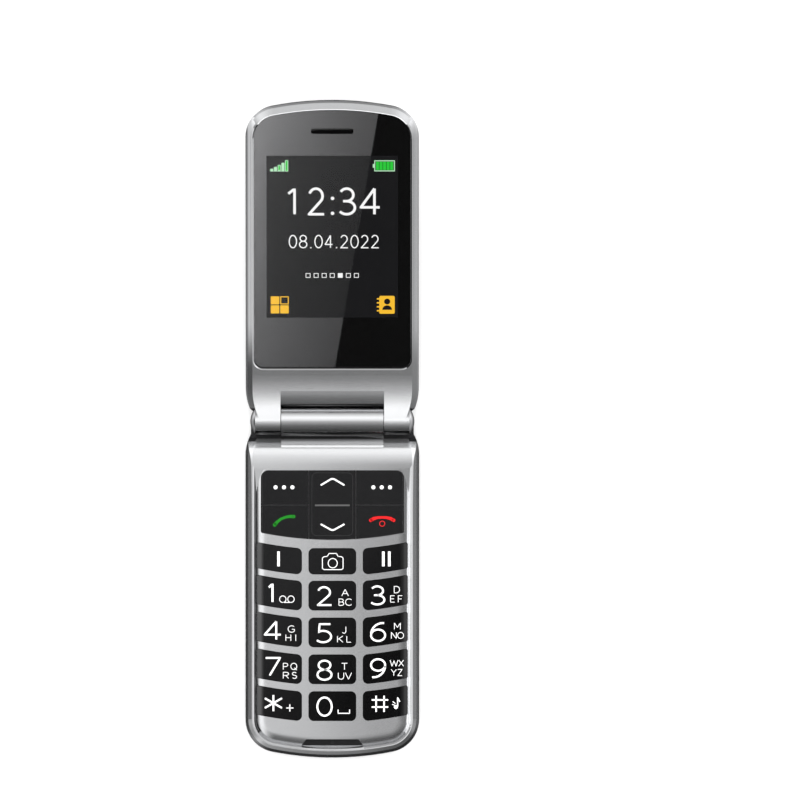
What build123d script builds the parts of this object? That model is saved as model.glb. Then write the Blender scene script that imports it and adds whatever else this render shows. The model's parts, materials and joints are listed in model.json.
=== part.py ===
from build123d import *
import math
import os

os.makedirs("parts", exist_ok=True)

# ---------------------------------------------------------------- overall form, mm
# Drawn about the hinge axis: X across the phone, Y along it, Z up from the back of the
# base. The base lies on its flat back, tip towards -Y; the lid stands open towards +Y.
HALF_WIDTH = 27.0
BASE_LENGTH = 104.5  # hinge axis to the tip of the base
LID_LENGTH = BASE_LENGTH  # the tips meet when the phone is shut
CROWN_RADIUS = 96.0  # the gently bowed tips
CORNER_RADIUS = 10.3
OPEN_ANGLE = 161.0  # between closed and the stop
BEYOND_AXIS = 6.0  # plan outlines run on past the axis and are cut by the side profiles
MARGIN = 1.0  # cutters reach this much past what they cut
TALL = 30.0  # cutters that pass right through reach this far

AXIS_Z = 11.35
BASE_TOP = 11.0
LID_OUTER = 2.4  # outer face of the lid when it lies flat open
LID_TOP = 11.0

# ---------------------------------------------------------------- hinge
BARREL_RADIUS = 4.5
BARREL_HALF = 15.9
EAR_RADIUS = 4.1
EAR_GAP = 0.2
EAR_END = HALF_WIDTH - 3.0
CAP_DOME = 1.5
HINGE_BORE = 3.0
RUNNING_FIT = 0.08
SHAFT_RADIUS = 1.5
CAP_PLUG = 1.5
EAR_CLEARANCE = 0.35
LEDGE_Z = AXIS_Z - EAR_RADIUS - EAR_CLEARANCE
REAR_END = 0.3  # back edge of the base and heel of the lid, short of the axis
RAMP_START = 15.0
BARREL_CLEARANCE = 0.35

# ---------------------------------------------------------------- base shell
SHOULDER_START = 10.4
SHOULDER_RADIUS = 13.3
SHOULDER_END = 3.9
SHOULDER_BLOCK = 11.0
LID_SHOULDER_RADIUS = 20.0
CASE_TOP = 8.4  # joint line between the rear case and the silver front
CASE_WALL = 2.9
CASE_EDGE_RADIUS = 3.0
BEZEL_STEP = 0.1
RIM_OUTER = 1.95  # insets from the outline
BEZEL_KNEE = 0.85
BEZEL_KNEE_Z = 9.8
SEAM_INSET = 2.2  # between the side bezel and the keypad frame
RIM_INNER = 2.7
DISH_INSET = 3.4
DISH_FLOOR = 9.6
PLATE_TOP = 10.85
PLATE_UNDER = 8.9
PILLOW_INSET = 0.6
PILLOW_RADIUS = 6.0
DISH_END = 14.5
DISH_FADE = 24.0
RIM_FADE = 26.0  # from here the rim sinks to the level of the keypad plate
ROLL_START = 14.5
ROLL_RADIUS = 20.0
ROLL_TURN = 15.0
NOSE_RADIUS = 7.0
NOSE_TURN = 60.0
FOOT_START = 8.1
FOOT_RADIUS = 4.34
FOOT_TOP = 9.75
FOOT_TILT = 10.0
FOOT_TURN = 55.0
CREASE_RISE = 0.6
LEDGE_SKIN = 0.8  # silver floor under the ears
FIT = 0.05  # side clearance between fixed pieces

# ---------------------------------------------------------------- keys
KEY_RISE = 0.2
KEY_GAP = 0.15
KEY_TRAVEL = 0.4
FLANGE_TOP = 8.85
FLANGE_BOTTOM = 8.2
FLANGE_LIP = 0.5
PLUNGER_RADIUS = 1.2
DOME_TOP = 7.5
DOME_RADIUS = 2.2
DOME_GAP = 0.1  # left under a fully pressed plunger
PLUNGER_BOTTOM = DOME_TOP + KEY_TRAVEL + DOME_GAP
FACETED = 8  # sides of the domes and plungers
ROW_TOP = 49.65
ROW_GAP = 2.5
KEYPAD_TIP = 11.55  # bottom row to the tip of the base
DIGIT_HEIGHT = (BASE_LENGTH - KEYPAD_TIP - ROW_TOP - 3 * ROW_GAP) / 4
ROW_PITCH = DIGIT_HEIGHT + ROW_GAP
SMALL_GAP = 2.25
CENTRE_HALF = 7.27
KEY_SPACING = 2.33
KEY_EDGE = 0.25
SIDE_INNER = CENTRE_HALF + KEY_SPACING
SIDE_OUTER = HALF_WIDTH - DISH_INSET - KEY_EDGE
ROW_BOW = 116.0
ROW_BOW_DROP = 0.45
KEY_CORNER = 1.5
OUTER_CORNER = 0.5
CLUSTER_EDGE = 1.5
CLUSTER_HALF = HALF_WIDTH - DISH_INSET - CLUSTER_EDGE
CLUSTER_TOP = 15.3
CLUSTER_BOTTOM = 36.66
CLUSTER_CORNER = 2.2
CLUSTER_BOW = 112.0
CLUSTER_SPACING = 2.84
SMALL_ROW_TOP = CLUSTER_BOTTOM + CLUSTER_SPACING
SMALL_HEIGHT = ROW_TOP - SMALL_ROW_TOP - SMALL_GAP
NAV_HALF = 7.2
NAV_PLATEAU_HALF = NAV_HALF - 0.8
NAV_PLATEAU_TOP = CLUSTER_TOP + 0.6
NAV_PLATEAU_BOTTOM = CLUSTER_BOTTOM - 1.16
NAV_RISE = 0.15
NAV_PRESS = 3.6
NAV_FLANGE_DROP = 0.35
CLUSTER_SPLIT = (CLUSTER_TOP + CLUSTER_BOTTOM) / 2
CLUSTER_GAP = 0.2

# ---------------------------------------------------------------- inside the base
ROOM_START = SHOULDER_BLOCK + 1.5  # near end of the room for the main board
COVER_INSET = 3.2
COVER_THICK = 1.2
COVER_END = 8.5
COVER_GAP = 0.1
WEB_TOP = 6.0
BOARD_BOTTOM = 6.1
BOARD_TOP = 7.1
DOME_SHEET = 0.15
BATTERY_START = 23.0
TIP_BLOCK = 27.5  # kept for the SIM holder, motor and socket between battery and tip
BATTERY_LENGTH = BASE_LENGTH - BATTERY_START - TIP_BLOCK
BATTERY_SIZE = (36.0, BATTERY_LENGTH, 4.2)
BATTERY_Y = BATTERY_START + BATTERY_LENGTH / 2
BATTERY_BOTTOM = 1.35
SPEAKER_SIZE = (17.0, 11.0, 3.0)
SPEAKER_WALL = 1.7
SPEAKER_Y = BATTERY_START - SPEAKER_WALL - SPEAKER_SIZE[1] / 2
SLOT_COUNT = 5
SLOT_PITCH = 2.6
SLOT_SIZE = (1.1, 8.0)
SCREW_HEAD_RADIUS = 1.4
SCREW_HEAD = 0.8
SCREW_RADIUS = 0.7
SCREW_LENGTH = 6.6
SCREW_WELL = 4.0  # depth of the well that lets the driver in
SHOULDER_SCREW = (HALF_WIDTH - 7.0, 11.3)
TIP_SCREW_OFFSET = (0.3, 5.0)  # from the centre of the corner arc
SCREW_HEAD_Z = 1.4
BOSS_RADIUS = 1.7
BATTERY_GAP = 0.2
BATTERY_CORNER = 2.0
MESH_THICK = 0.3
NAIL_NOTCH = 1.6
BOARD_GAP = 0.2
NOTCH_NEAR = BASE_LENGTH - 5.7
NOTCH_FAR = BASE_LENGTH - 3.8
NOTCH_NEAR_HALF = 8.1
NOTCH_FAR_HALF = 9.6
NOTCH_FLOOR = 9.7
MIC_HOLE = 0.6
MIC_RADIUS = 1.6
MIC_HEIGHT = 1.6
CONTACT_COUNT = 3
CONTACT_PITCH = 3.5
PORT_SIZE = (9.0, 3.2)
PORT_DEPTH = 7.0
PORT_Z = 4.2
PORT_WALL = 0.35
MOTOR_RADIUS = 2.0
MOTOR_LENGTH = 10.0
MOTOR_PLACE = (HALF_WIDTH - 12.0, BASE_LENGTH - 18.5)
SIM_SIZE = (13.0, 15.0, 1.6)
SIM_PLACE = (11.8 - HALF_WIDTH, BASE_LENGTH - 17.0)
ANTENNA_SIZE = (26.0, 1.8, 1.0)
ANTENNA_Y = BASE_LENGTH - 9.0
PAD_SIZE = (2.2, 2.0, 1.6)
PAD_GAP = 2.9
PAD_X = PORT_SIZE[0] / 2 + PAD_GAP + PAD_SIZE[0] / 2
CONTACT_SIZE = (1.6, 1.4, 3.0)
SOS_Y = BASE_LENGTH - 17.5
SOS_RADIUS = 4.95
SOS_RECESS = 0.3
SOS_TRAVEL = 0.5
ROCKER_Y = 36.0
ROCKER_Z = 5.3
ROCKER_SIZE = (2.0, 13.0, 2.6)
ROCKER_RECESS = 0.05

# ---------------------------------------------------------------- lid
LID_EDGE_RADIUS = 5.4
LID_JOINT_INSET = 0.55
LID_WIDEST_Z = 8.9
LID_KNEE = 0.6
LID_KNEE_Z = 9.6
LID_SEAM_INSET = 1.75
LID_SCREW_LENGTH = 3.4
LID_SCREW_X = HALF_WIDTH - 4.0
LID_SCREW_PLACES = ((LID_SCREW_X, 26.0), (LID_SCREW_X, LID_LENGTH - 14.0))
LID_SCREW_HEAD_RADIUS = 1.2
LID_BOSS_RADIUS = 1.5
LID_BOARD_BOTTOM = 5.9
LID_BOARD_TOP = 6.7
LID_BOARD_START = 16.0
WINDOW_SIZE = (26.0, 18.0)
WINDOW_FROM_TIP = 44.5
WINDOW_S = LID_LENGTH - WINDOW_FROM_TIP
WINDOW_THICK = 1.0
WINDOW_CORNER = 3.0
OUTER_DISPLAY_THICK = 1.4
CAMERA_FROM_TIP = 24.5
CAMERA_S = LID_LENGTH - CAMERA_FROM_TIP
CAMERA_RADIUS = 2.7
CAMERA_RING = 4.2
RING_PROUD = 0.3
EARPIECE_SIZE = (12.0, 6.0)
MAGNET_SIZE = (6.0, 3.0, 1.4)
MAGNET_PLACE = (HALF_WIDTH - 12.0, LID_LENGTH - 8.5)
LID_JOINT_Z = 7.9  # joint line between outer cover and inner frame
LID_WALL = 3.8
COVER_FLOOR = 3.6
LID_RIM = 2.2
LENS_INSET = 2.65
LENS_START = 17.2
LENS_THICK = 1.0
LENS_TOP = 10.7
LENS_CORNER = 3.0
LENS_GAP = 0.1
LENS_CHAMFER = 0.3  # bright edge round the lens
LCD_HALF = HALF_WIDTH - 5.9
LCD_START = 31.0
LCD_END = LID_LENGTH - 15.9
LCD_BOTTOM = 7.2
LCD_TOP = 9.55
SLOT_S = LID_LENGTH - 9.8
EAR_SLOT = (13.2, 1.28)
CENTRE_EDGE = 10.1  # where the middle of the lid leaves the ramp
CENTRE_RADIUS = 11.8
CENTRE_LEAN = 9.0
CENTRE_FALL = 20.0
HEEL_RADIUS = 2.0

ORIGIN_SHIFT = BASE_LENGTH / 2
LID_TILT = 180.0 - OPEN_ANGLE


def tip_circles(length):
    """Centre of the crown arc and of the corner arc of a tip, length away from the axis."""
    crown_y = length - CROWN_RADIUS
    corner_x = HALF_WIDTH - CORNER_RADIUS
    reach = CROWN_RADIUS - CORNER_RADIUS
    corner_y = crown_y + math.sqrt(reach**2 - corner_x**2)
    return crown_y, corner_x, corner_y


def outline(length, side, inset=0.0, shoulder=None, near=-BEYOND_AXIS):
    """Plan outline of one half of the phone, offset inwards by inset.

    side is -1 for the base and +1 for the lid. shoulder is (start, radius, end) of the
    waist beside the hinge, or None for straight flanks. near is where the flat end lies.
    """
    crown_y, corner_x, corner_y = tip_circles(length)
    crown_r = CROWN_RADIUS - inset
    corner_r = CORNER_RADIUS - inset
    reach = CROWN_RADIUS - CORNER_RADIUS
    ux = corner_x / reach
    uy = (corner_y - crown_y) / reach
    half = HALF_WIDTH - inset
    turn = math.atan2(uy, ux) / 2
    corner_mid = (corner_x + corner_r * math.cos(turn), corner_y + corner_r * math.sin(turn))
    crown_end = (ux * crown_r, crown_y + uy * crown_r)

    def at(x, y):
        return (x, side * y)

    with BuildSketch() as plan:
        with BuildLine():
            for flip in (1, -1):
                ThreePointArc(
                    at(flip * half, corner_y),
                    at(flip * corner_mid[0], corner_mid[1]),
                    at(flip * crown_end[0], crown_end[1]),
                )
                if shoulder:
                    start, radius, end = shoulder
                    centre_x = HALF_WIDTH - radius
                    drop = math.asin((start - end) / radius)
                    bend = radius - inset
                    waist_x = centre_x + bend * math.cos(drop)
                    waist_y = start - bend * math.sin(drop)
                    ThreePointArc(
                        at(flip * half, start),
                        at(
                            flip * (centre_x + bend * math.cos(drop / 2)),
                            start - bend * math.sin(drop / 2),
                        ),
                        at(flip * waist_x, waist_y),
                    )
                    Line(at(flip * half, start), at(flip * half, corner_y))
                    Line(at(flip * waist_x, waist_y), at(flip * waist_x, near))
                else:
                    waist_x = half
                    Line(at(flip * half, near), at(flip * half, corner_y))
            ThreePointArc(
                at(crown_end[0], crown_end[1]), at(0, length - inset), at(-crown_end[0], crown_end[1])
            )
            Line(at(waist_x, near), at(-waist_x, near))
        make_face()
    return plan.sketch


BASE_SHOULDER = (SHOULDER_START, SHOULDER_RADIUS, SHOULDER_END)
LID_SHOULDER = (SHOULDER_START, LID_SHOULDER_RADIUS, 0.0)


def base_outline(inset=0.0, near=-BEYOND_AXIS, waist=True):
    return outline(BASE_LENGTH, -1, inset, BASE_SHOULDER if waist else None, near)


def lid_outline(inset=0.0, near=-BEYOND_AXIS, waist=True):
    return outline(LID_LENGTH, 1, inset, LID_SHOULDER if waist else None, near)


def prism(face, bottom, top):
    return extrude(Pos(0, 0, bottom) * face, amount=top - bottom)


def tapered(low_face, low_z, high_face, high_z):
    """Straight-sided solid between two outlines that have the same edges."""
    return loft([Pos(0, 0, low_z) * low_face, Pos(0, 0, high_z) * high_face], ruled=True)


def box(x0, x1, y0, y1, z0, z1):
    size = Box(abs(x1 - x0), abs(y1 - y0), abs(z1 - z0))
    return Pos((x0 + x1) / 2, (y0 + y1) / 2, (z0 + z1) / 2) * size


def barrel(radius, x0, x1, y=0.0, z=AXIS_Z):
    """Cylinder along X."""
    return Pos((x0 + x1) / 2, y, z) * Rot(0, 90, 0) * Cylinder(radius, abs(x1 - x0))


def across(sketch, x0, x1):
    """Extrude a side profile drawn on the YZ plane between two stations in X."""
    return extrude(Pos(x0, 0, 0) * sketch, amount=x1 - x0)


def both_sides(shape):
    return shape + mirror(shape, about=Plane.YZ)


def polar(centre, radius, degrees):
    angle = math.radians(degrees)
    return (centre[0] + radius * math.cos(angle), centre[1] + radius * math.sin(angle))


def swing(centre, radius, start, end):
    """Arc about centre from start to end degrees, for use inside a BuildLine."""
    return ThreePointArc(
        polar(centre, radius, start), polar(centre, radius, (start + end) / 2), polar(centre, radius, end)
    )


# ---------------------------------------------------------------- side profiles
def base_profile():
    """Side view of the base: flat top, rolled shoulder, ledge under the hinge."""
    far = -BASE_LENGTH - 5
    roll_centre = (-ROLL_START, PLATE_TOP - ROLL_RADIUS)
    roll_end = polar(roll_centre, ROLL_RADIUS, 90 - ROLL_TURN)
    nose_centre = polar(roll_end, -NOSE_RADIUS, 90 - ROLL_TURN)
    nose_end = polar(nose_centre, NOSE_RADIUS, 90 - NOSE_TURN)
    ledge_y = nose_end[0] + (nose_end[1] - LEDGE_Z) / math.tan(math.radians(NOSE_TURN))
    heel_centre = (-REAR_END - CASE_EDGE_RADIUS, CASE_EDGE_RADIUS)
    with BuildSketch(Plane.YZ) as side:
        with BuildLine():
            Polyline(
                polar(heel_centre, CASE_EDGE_RADIUS, -90),
                (far, 0),
                (far, BASE_TOP),
                (-RIM_FADE, BASE_TOP),
                (-ROLL_START, PLATE_TOP),
            )
            swing(roll_centre, ROLL_RADIUS, 90, 90 - ROLL_TURN)
            swing(nose_centre, NOSE_RADIUS, 90 - ROLL_TURN, 90 - NOSE_TURN)
            Polyline(
                nose_end, (ledge_y, LEDGE_Z), (-REAR_END, LEDGE_Z), polar(heel_centre, CASE_EDGE_RADIUS, 0)
            )
            swing(heel_centre, CASE_EDGE_RADIUS, 0, -90)
        make_face()
    return side.sketch


def barrel_profile():
    """Side view of the barrel with the rolled foot that carries it."""
    foot_centre = polar((-FOOT_START, FOOT_TOP), -FOOT_RADIUS, 90 - FOOT_TILT)
    foot_end = polar(foot_centre, FOOT_RADIUS, 90 - FOOT_TURN)
    crease = (-BARREL_RADIUS * math.cos(math.radians(FOOT_TURN)), LEDGE_Z + CREASE_RISE)
    with BuildSketch(Plane.YZ) as side:
        with BuildLine():
            swing(foot_centre, FOOT_RADIUS, 90 - FOOT_TILT, 90 - FOOT_TURN)
            Polyline(
                foot_end, crease, (0, AXIS_Z), (0, LEDGE_Z), (-FOOT_START, LEDGE_Z), (-FOOT_START, FOOT_TOP)
            )
        make_face()
        with Locations((0, AXIS_Z)):
            Circle(BARREL_RADIUS)
        with Locations((0, LEDGE_Z - BARREL_RADIUS)):
            Rectangle(4 * BARREL_RADIUS, 2 * BARREL_RADIUS, mode=Mode.SUBTRACT)
    return side.sketch


def lid_ramp():
    """Centre and radius of the arc that lifts the lid's face to the top of the ears."""
    step = AXIS_Z - LID_TOP
    radius = (RAMP_START**2 + step**2 - EAR_RADIUS**2) / (2 * (EAR_RADIUS + step))
    return (RAMP_START, LID_TOP + radius), radius


def lid_profile():
    """Side view of the lid where it carries the ears: ramp up to the ear, heel below."""
    ramp_centre, ramp = lid_ramp()
    lean = math.degrees(math.atan2(ramp_centre[1] - AXIS_Z, RAMP_START))
    far = LID_LENGTH + 5
    heel_centre = (REAR_END + HEEL_RADIUS, LID_OUTER + HEEL_RADIUS)
    with BuildSketch(Plane.YZ) as side:
        with BuildLine():
            swing(ramp_centre, ramp, -90, lean - 180)
            Polyline(
                polar((0, AXIS_Z), EAR_RADIUS, lean),
                (0, AXIS_Z),
                (REAR_END, AXIS_Z - EAR_RADIUS * 0.9),
                polar(heel_centre, HEEL_RADIUS, 180),
            )
            swing(heel_centre, HEEL_RADIUS, 180, 270)
            Polyline(
                polar(heel_centre, HEEL_RADIUS, 270), (far, LID_OUTER), (far, LID_TOP), (RAMP_START, LID_TOP)
            )
        make_face()
        with Locations((0, AXIS_Z)):
            Circle(EAR_RADIUS)
    return side.sketch


def lid_middle_profile():
    """Side view of the lid between the ears: it leaves the ramp and rolls down to the barrel."""
    ramp_centre, ramp = lid_ramp()
    edge_turn = math.degrees(math.asin((RAMP_START - CENTRE_EDGE) / ramp))
    edge = polar(ramp_centre, ramp, -90 - edge_turn)
    roll_centre = polar(edge, -CENTRE_RADIUS, 90 - CENTRE_LEAN)
    roll_end = polar(roll_centre, CENTRE_RADIUS, 90 + CENTRE_FALL)
    scoop = BARREL_RADIUS + BARREL_CLEARANCE
    far = LID_LENGTH + 5
    heel_centre = (REAR_END + HEEL_RADIUS, LID_OUTER + HEEL_RADIUS)
    with BuildSketch(Plane.YZ) as side:
        with BuildLine():
            swing(ramp_centre, ramp, -90, -90 - edge_turn)
            swing(roll_centre, CENTRE_RADIUS, 90 - CENTRE_LEAN, 90 + CENTRE_FALL)
            Polyline(
                roll_end,
                (0, AXIS_Z - scoop / 2),
                (REAR_END, AXIS_Z - scoop),
                polar(heel_centre, HEEL_RADIUS, 180),
            )
            swing(heel_centre, HEEL_RADIUS, 180, 270)
            Polyline(
                polar(heel_centre, HEEL_RADIUS, 270), (far, LID_OUTER), (far, LID_TOP), (RAMP_START, LID_TOP)
            )
        make_face()
        with Locations((0, AXIS_Z)):
            Circle(scoop, mode=Mode.SUBTRACT)
    return side.sketch


WIDE = HALF_WIDTH + MARGIN
UP = (Align.CENTER, Align.CENTER, Align.MIN)
base_side = across(base_profile(), -WIDE, WIDE)


# ---------------------------------------------------------------- keypad layout
def bowed(x0, x1, top, height, bow, drop=0.0, grow=0.0):
    """Key outline whose long edges follow arcs that rise away from the centre line."""
    y_top = -top - drop
    y_bottom = y_top - height
    band = Pos((x0 + x1) / 2, y_bottom + bow / 4) * Rectangle(abs(x1 - x0) + 2 * grow, bow / 2 + 4 * grow)
    return (band & Pos(0, y_bottom + bow) * Circle(bow + grow)) - Pos(0, y_top + bow) * Circle(bow - grow)


def centre_key(top, height, grow=0.0):
    face = Pos(0, -top - height / 2) * Rectangle(2 * (CENTRE_HALF + grow), height + 2 * grow)
    return fillet(face.vertices(), KEY_CORNER + grow)


def side_key(side, top, height, grow=0.0):
    face = bowed(side * SIDE_INNER, side * SIDE_OUTER, top, height, ROW_BOW, ROW_BOW_DROP, grow)
    corners = face.vertices().sort_by(Axis.X)
    inner = corners[:2] if side > 0 else corners[2:]
    face = fillet(inner, KEY_CORNER + grow)
    outer = [v for v in face.vertices() if abs(abs(v.X) - SIDE_OUTER - grow) < 0.01]
    return fillet(outer, OUTER_CORNER + grow)


def cluster(grow=0.0):
    """Outline of the block of five command keys."""
    face = Pos(0, -CLUSTER_TOP - CLUSTER_BOW / 4 + grow / 2) * Rectangle(
        2 * (CLUSTER_HALF + grow), CLUSTER_BOW / 2 + grow
    )
    face = face & Pos(0, -CLUSTER_BOTTOM + CLUSTER_BOW) * Circle(CLUSTER_BOW + grow)
    corners = face.vertices().sort_by(Axis.Y)
    face = fillet(corners[2:], CLUSTER_CORNER + grow)
    lower = face.vertices().sort_by(Axis.Y)[:2]
    return fillet(lower, OUTER_CORNER + grow)


def cluster_cell(name, grow=0.0):
    """One key of the command block: the block's outline cut by the seams between keys."""
    half = CLUSTER_GAP / 2
    far = CLUSTER_HALF + 5
    seam_x = NAV_HALF + half
    if name == "nav":
        window = Pos(0, -CLUSTER_SPLIT) * Rectangle(2 * NAV_HALF, 4 * CLUSTER_BOTTOM)
    else:
        side = -1 if name in ("soft_left", "call") else 1
        upper = name.startswith("soft")
        y0 = -CLUSTER_SPLIT + half if upper else -CLUSTER_SPLIT - half - far
        y1 = -CLUSTER_SPLIT + half + far if upper else -CLUSTER_SPLIT - half
        x0, x1 = sorted((side * (seam_x + half), side * far))
        window = Pos((x0 + x1) / 2, (y0 + y1) / 2) * Rectangle(x1 - x0, y1 - y0)
    return cluster(grow) & window


def keypad():
    """Column (-1, 0 or 1), upper edge and height of each key under the command block."""
    keys = {}
    rows = (
        (ROW_TOP, DIGIT_HEIGHT, ("key_1", "key_2", "key_3")),
        (ROW_TOP + ROW_PITCH, DIGIT_HEIGHT, ("key_4", "key_5", "key_6")),
        (ROW_TOP + 2 * ROW_PITCH, DIGIT_HEIGHT, ("key_7", "key_8", "key_9")),
        (ROW_TOP + 3 * ROW_PITCH, DIGIT_HEIGHT, ("key_star", "key_0", "key_hash")),
        (SMALL_ROW_TOP, SMALL_HEIGHT, ("key_one_touch", "key_camera", "key_two_touch")),
    )
    for top, height, names in rows:
        for side, name in zip((-1, 0, 1), names):
            keys[name] = (side, top, height)
    return keys


KEYS = keypad()
COMMANDS = {
    "soft_key_left": ("soft_left", -1, CLUSTER_TOP, CLUSTER_SPLIT),
    "soft_key_right": ("soft_right", 1, CLUSTER_TOP, CLUSTER_SPLIT),
    "call_key": ("call", -1, CLUSTER_SPLIT, CLUSTER_BOTTOM),
    "end_key": ("end", 1, CLUSTER_SPLIT, CLUSTER_BOTTOM),
}


def key_outline(name, grow=0.0):
    side, top, height = KEYS[name]
    if side == 0:
        return centre_key(top, height, grow)
    return side_key(side, top, height, grow)


def key_centre(name):
    if name in COMMANDS:
        _, side, top, bottom = COMMANDS[name]
        return side * (NAV_HALF + CLUSTER_HALF) / 2, -(top + bottom) / 2
    side, top, height = KEYS[name]
    x = side * (SIDE_INNER + SIDE_OUTER) / 2
    rise = ROW_BOW - math.sqrt(ROW_BOW**2 - x**2) - ROW_BOW_DROP if side else 0
    return x, -top - height / 2 + rise


def pillow(rise=0.0):
    """The crowned sheet that the keypad follows: flat, rolling off towards every rim."""
    top = PLATE_TOP + rise
    body = prism(base_outline(PILLOW_INSET, waist=False, near=-2 * BEYOND_AXIS), 0, top)
    crest = [e for e in body.edges() if e.center().Z > top - 0.01 and e.center().Y < BEYOND_AXIS]
    return fillet(crest, PILLOW_RADIUS)


sheet = pillow()
key_sheet = pillow(KEY_RISE)


# ---------------------------------------------------------------- base shell pieces
def seam_ring(low, high):
    """Side bezel: a sloped band round the base, narrowest at the rim."""
    knee = BEZEL_KNEE
    lower = tapered(base_outline(BEZEL_STEP), low, base_outline(knee), BEZEL_KNEE_Z)
    upper = tapered(base_outline(knee), BEZEL_KNEE_Z, base_outline(RIM_OUTER), high)
    return (lower + upper) - prism(base_outline(SEAM_INSET), low - 1, high + 1)


base_bezel = seam_ring(CASE_TOP, BASE_TOP) & base_side

shoulder_zone = box(-WIDE, WIDE, -SHOULDER_BLOCK, TALL, -MARGIN, TALL)
pocket_half = BARREL_HALF + FIT
foot_pocket = box(-pocket_half, pocket_half, -FOOT_START, TALL, LEDGE_Z, TALL)

lip = 0.5  # the groove's cutter runs on past the rim
slope = (DISH_INSET - RIM_INNER) / (BASE_TOP - DISH_FLOOR)
fade = (DISH_FADE - DISH_END) / (PLATE_TOP - DISH_FLOOR)
dish = tapered(
    base_outline(DISH_INSET, waist=False, near=DISH_FADE),
    DISH_FLOOR,
    base_outline(
        RIM_INNER - slope * lip, waist=False, near=DISH_END - fade * (BASE_TOP + lip - PLATE_TOP)
    ),
    BASE_TOP + lip,
)

frame_block = prism(base_outline(SEAM_INSET), PLATE_UNDER, BASE_TOP)
frame_skirt = prism(base_outline(SEAM_INSET), CASE_TOP, PLATE_UNDER) - prism(
    base_outline(CASE_WALL), CASE_TOP, PLATE_UNDER
)
frame_shoulder = prism(base_outline(SEAM_INSET), LEDGE_Z - LEDGE_SKIN, PLATE_UNDER) & shoulder_zone
frame_shoulder -= box(-pocket_half, pocket_half, -SHOULDER_BLOCK, TALL, 0, LEDGE_Z)
keypad_frame = (frame_block + frame_skirt + frame_shoulder) & base_side
keypad_frame -= dish - sheet
keypad_frame -= foot_pocket
for name in KEYS:
    keypad_frame -= prism(key_outline(name, KEY_GAP), PLATE_UNDER - MARGIN, BASE_TOP + MARGIN)
keypad_frame -= prism(cluster(KEY_GAP), PLATE_UNDER - MARGIN, BASE_TOP + MARGIN)

# finger notch with the microphone hole, in the rim of the tip
notch_face = make_face(
    Polyline(
        (-NOTCH_NEAR_HALF, -NOTCH_NEAR),
        (NOTCH_NEAR_HALF, -NOTCH_NEAR),
        (NOTCH_FAR_HALF, -NOTCH_FAR),
        (-NOTCH_FAR_HALF, -NOTCH_FAR),
        close=True,
    )
)
keypad_frame -= prism(notch_face, NOTCH_FLOOR, BASE_TOP + MARGIN)
mic_y = -(NOTCH_NEAR + NOTCH_FAR) / 2
keypad_frame -= Pos(0, mic_y, NOTCH_FLOOR) * Cylinder(MIC_HOLE, 2 * (NOTCH_FLOOR - PLATE_UNDER + MARGIN))


def screw(length, head_z, place, head=SCREW_HEAD, head_radius=SCREW_HEAD_RADIUS, radius=SCREW_RADIUS):
    """Cheese-head screw driven upwards, its head's outer face at head_z."""
    body = Cylinder(head_radius, head, align=UP)
    body -= extrude(RegularPolygon(head_radius * 0.45, 6), amount=head * 0.5)
    body += Pos(0, 0, head) * Cylinder(radius, length, align=UP)
    return Pos(place[0], place[1], head_z) * body


def screw_hole(length, head_z, place, head=SCREW_HEAD, head_radius=SCREW_HEAD_RADIUS, radius=SCREW_RADIUS):
    """Counterbore open towards -Z and a hole for the shank, both with side clearance."""
    hole = Pos(0, 0, -SCREW_WELL) * Cylinder(head_radius + FIT, SCREW_WELL + head, align=UP)
    hole += Cylinder(radius + FIT / 2, head + length + FIT, align=UP)
    return Pos(place[0], place[1], head_z) * hole


_, tip_x, tip_y = tip_circles(BASE_LENGTH)
tip_screw = (tip_x + TIP_SCREW_OFFSET[0], tip_y + TIP_SCREW_OFFSET[1])
base_screw_spots = [(side * x, -y) for x, y in (SHOULDER_SCREW, tip_screw) for side in (-1, 1)]
base_screws = Part() + [screw(SCREW_LENGTH, SCREW_HEAD_Z, spot) for spot in base_screw_spots]
base_screw_holes = Part() + [screw_hole(SCREW_LENGTH, SCREW_HEAD_Z, spot) for spot in base_screw_spots]
for x, y in base_screw_spots[2:]:
    keypad_frame += Pos(x, y, CASE_TOP) * Cylinder(BOSS_RADIUS, PLATE_UNDER - CASE_TOP, align=UP)
keypad_frame -= base_screw_holes

# rear case: a tray with a rounded bottom edge, pockets open to the back
rear_case = prism(base_outline(), 0, CASE_TOP)
heel_edges = [e for e in rear_case.edges() if e.center().Z < 0.01 and e.center().Y < BEYOND_AXIS - MARGIN]
rear_case = fillet(heel_edges, CASE_EDGE_RADIUS)
rear_case = rear_case & base_side
rear_case -= prism(base_outline(CASE_WALL, waist=False, near=ROOM_START), WEB_TOP, CASE_TOP + MARGIN)
shoulder_seat = prism(base_outline(SEAM_INSET - FIT), LEDGE_Z - LEDGE_SKIN, CASE_TOP + MARGIN)
seat_zone = box(-WIDE, WIDE, -SHOULDER_BLOCK - FIT, TALL, LEDGE_Z, TALL)
seat_zone += both_sides(box(BARREL_HALF, WIDE, -SHOULDER_BLOCK - FIT, TALL, 0, TALL))
rear_case -= shoulder_seat & seat_zone
cover_near = COVER_END - COVER_GAP
rear_case -= prism(base_outline(COVER_INSET - COVER_GAP, waist=False, near=cover_near), -MARGIN, COVER_THICK)
battery_room = [s + 2 * BATTERY_GAP for s in BATTERY_SIZE]
battery_z = BATTERY_BOTTOM + BATTERY_SIZE[2] / 2
rear_case -= box(
    -battery_room[0] / 2,
    battery_room[0] / 2,
    -BATTERY_Y - battery_room[1] / 2,
    -BATTERY_Y + battery_room[1] / 2,
    0,
    BATTERY_BOTTOM + BATTERY_SIZE[2] + FIT,
)
for x, y in base_screw_spots[2:]:
    rear_case += Pos(x, y, WEB_TOP) * Cylinder(BOSS_RADIUS, CASE_TOP - WEB_TOP, align=UP)
rear_case -= base_screw_holes

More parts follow.
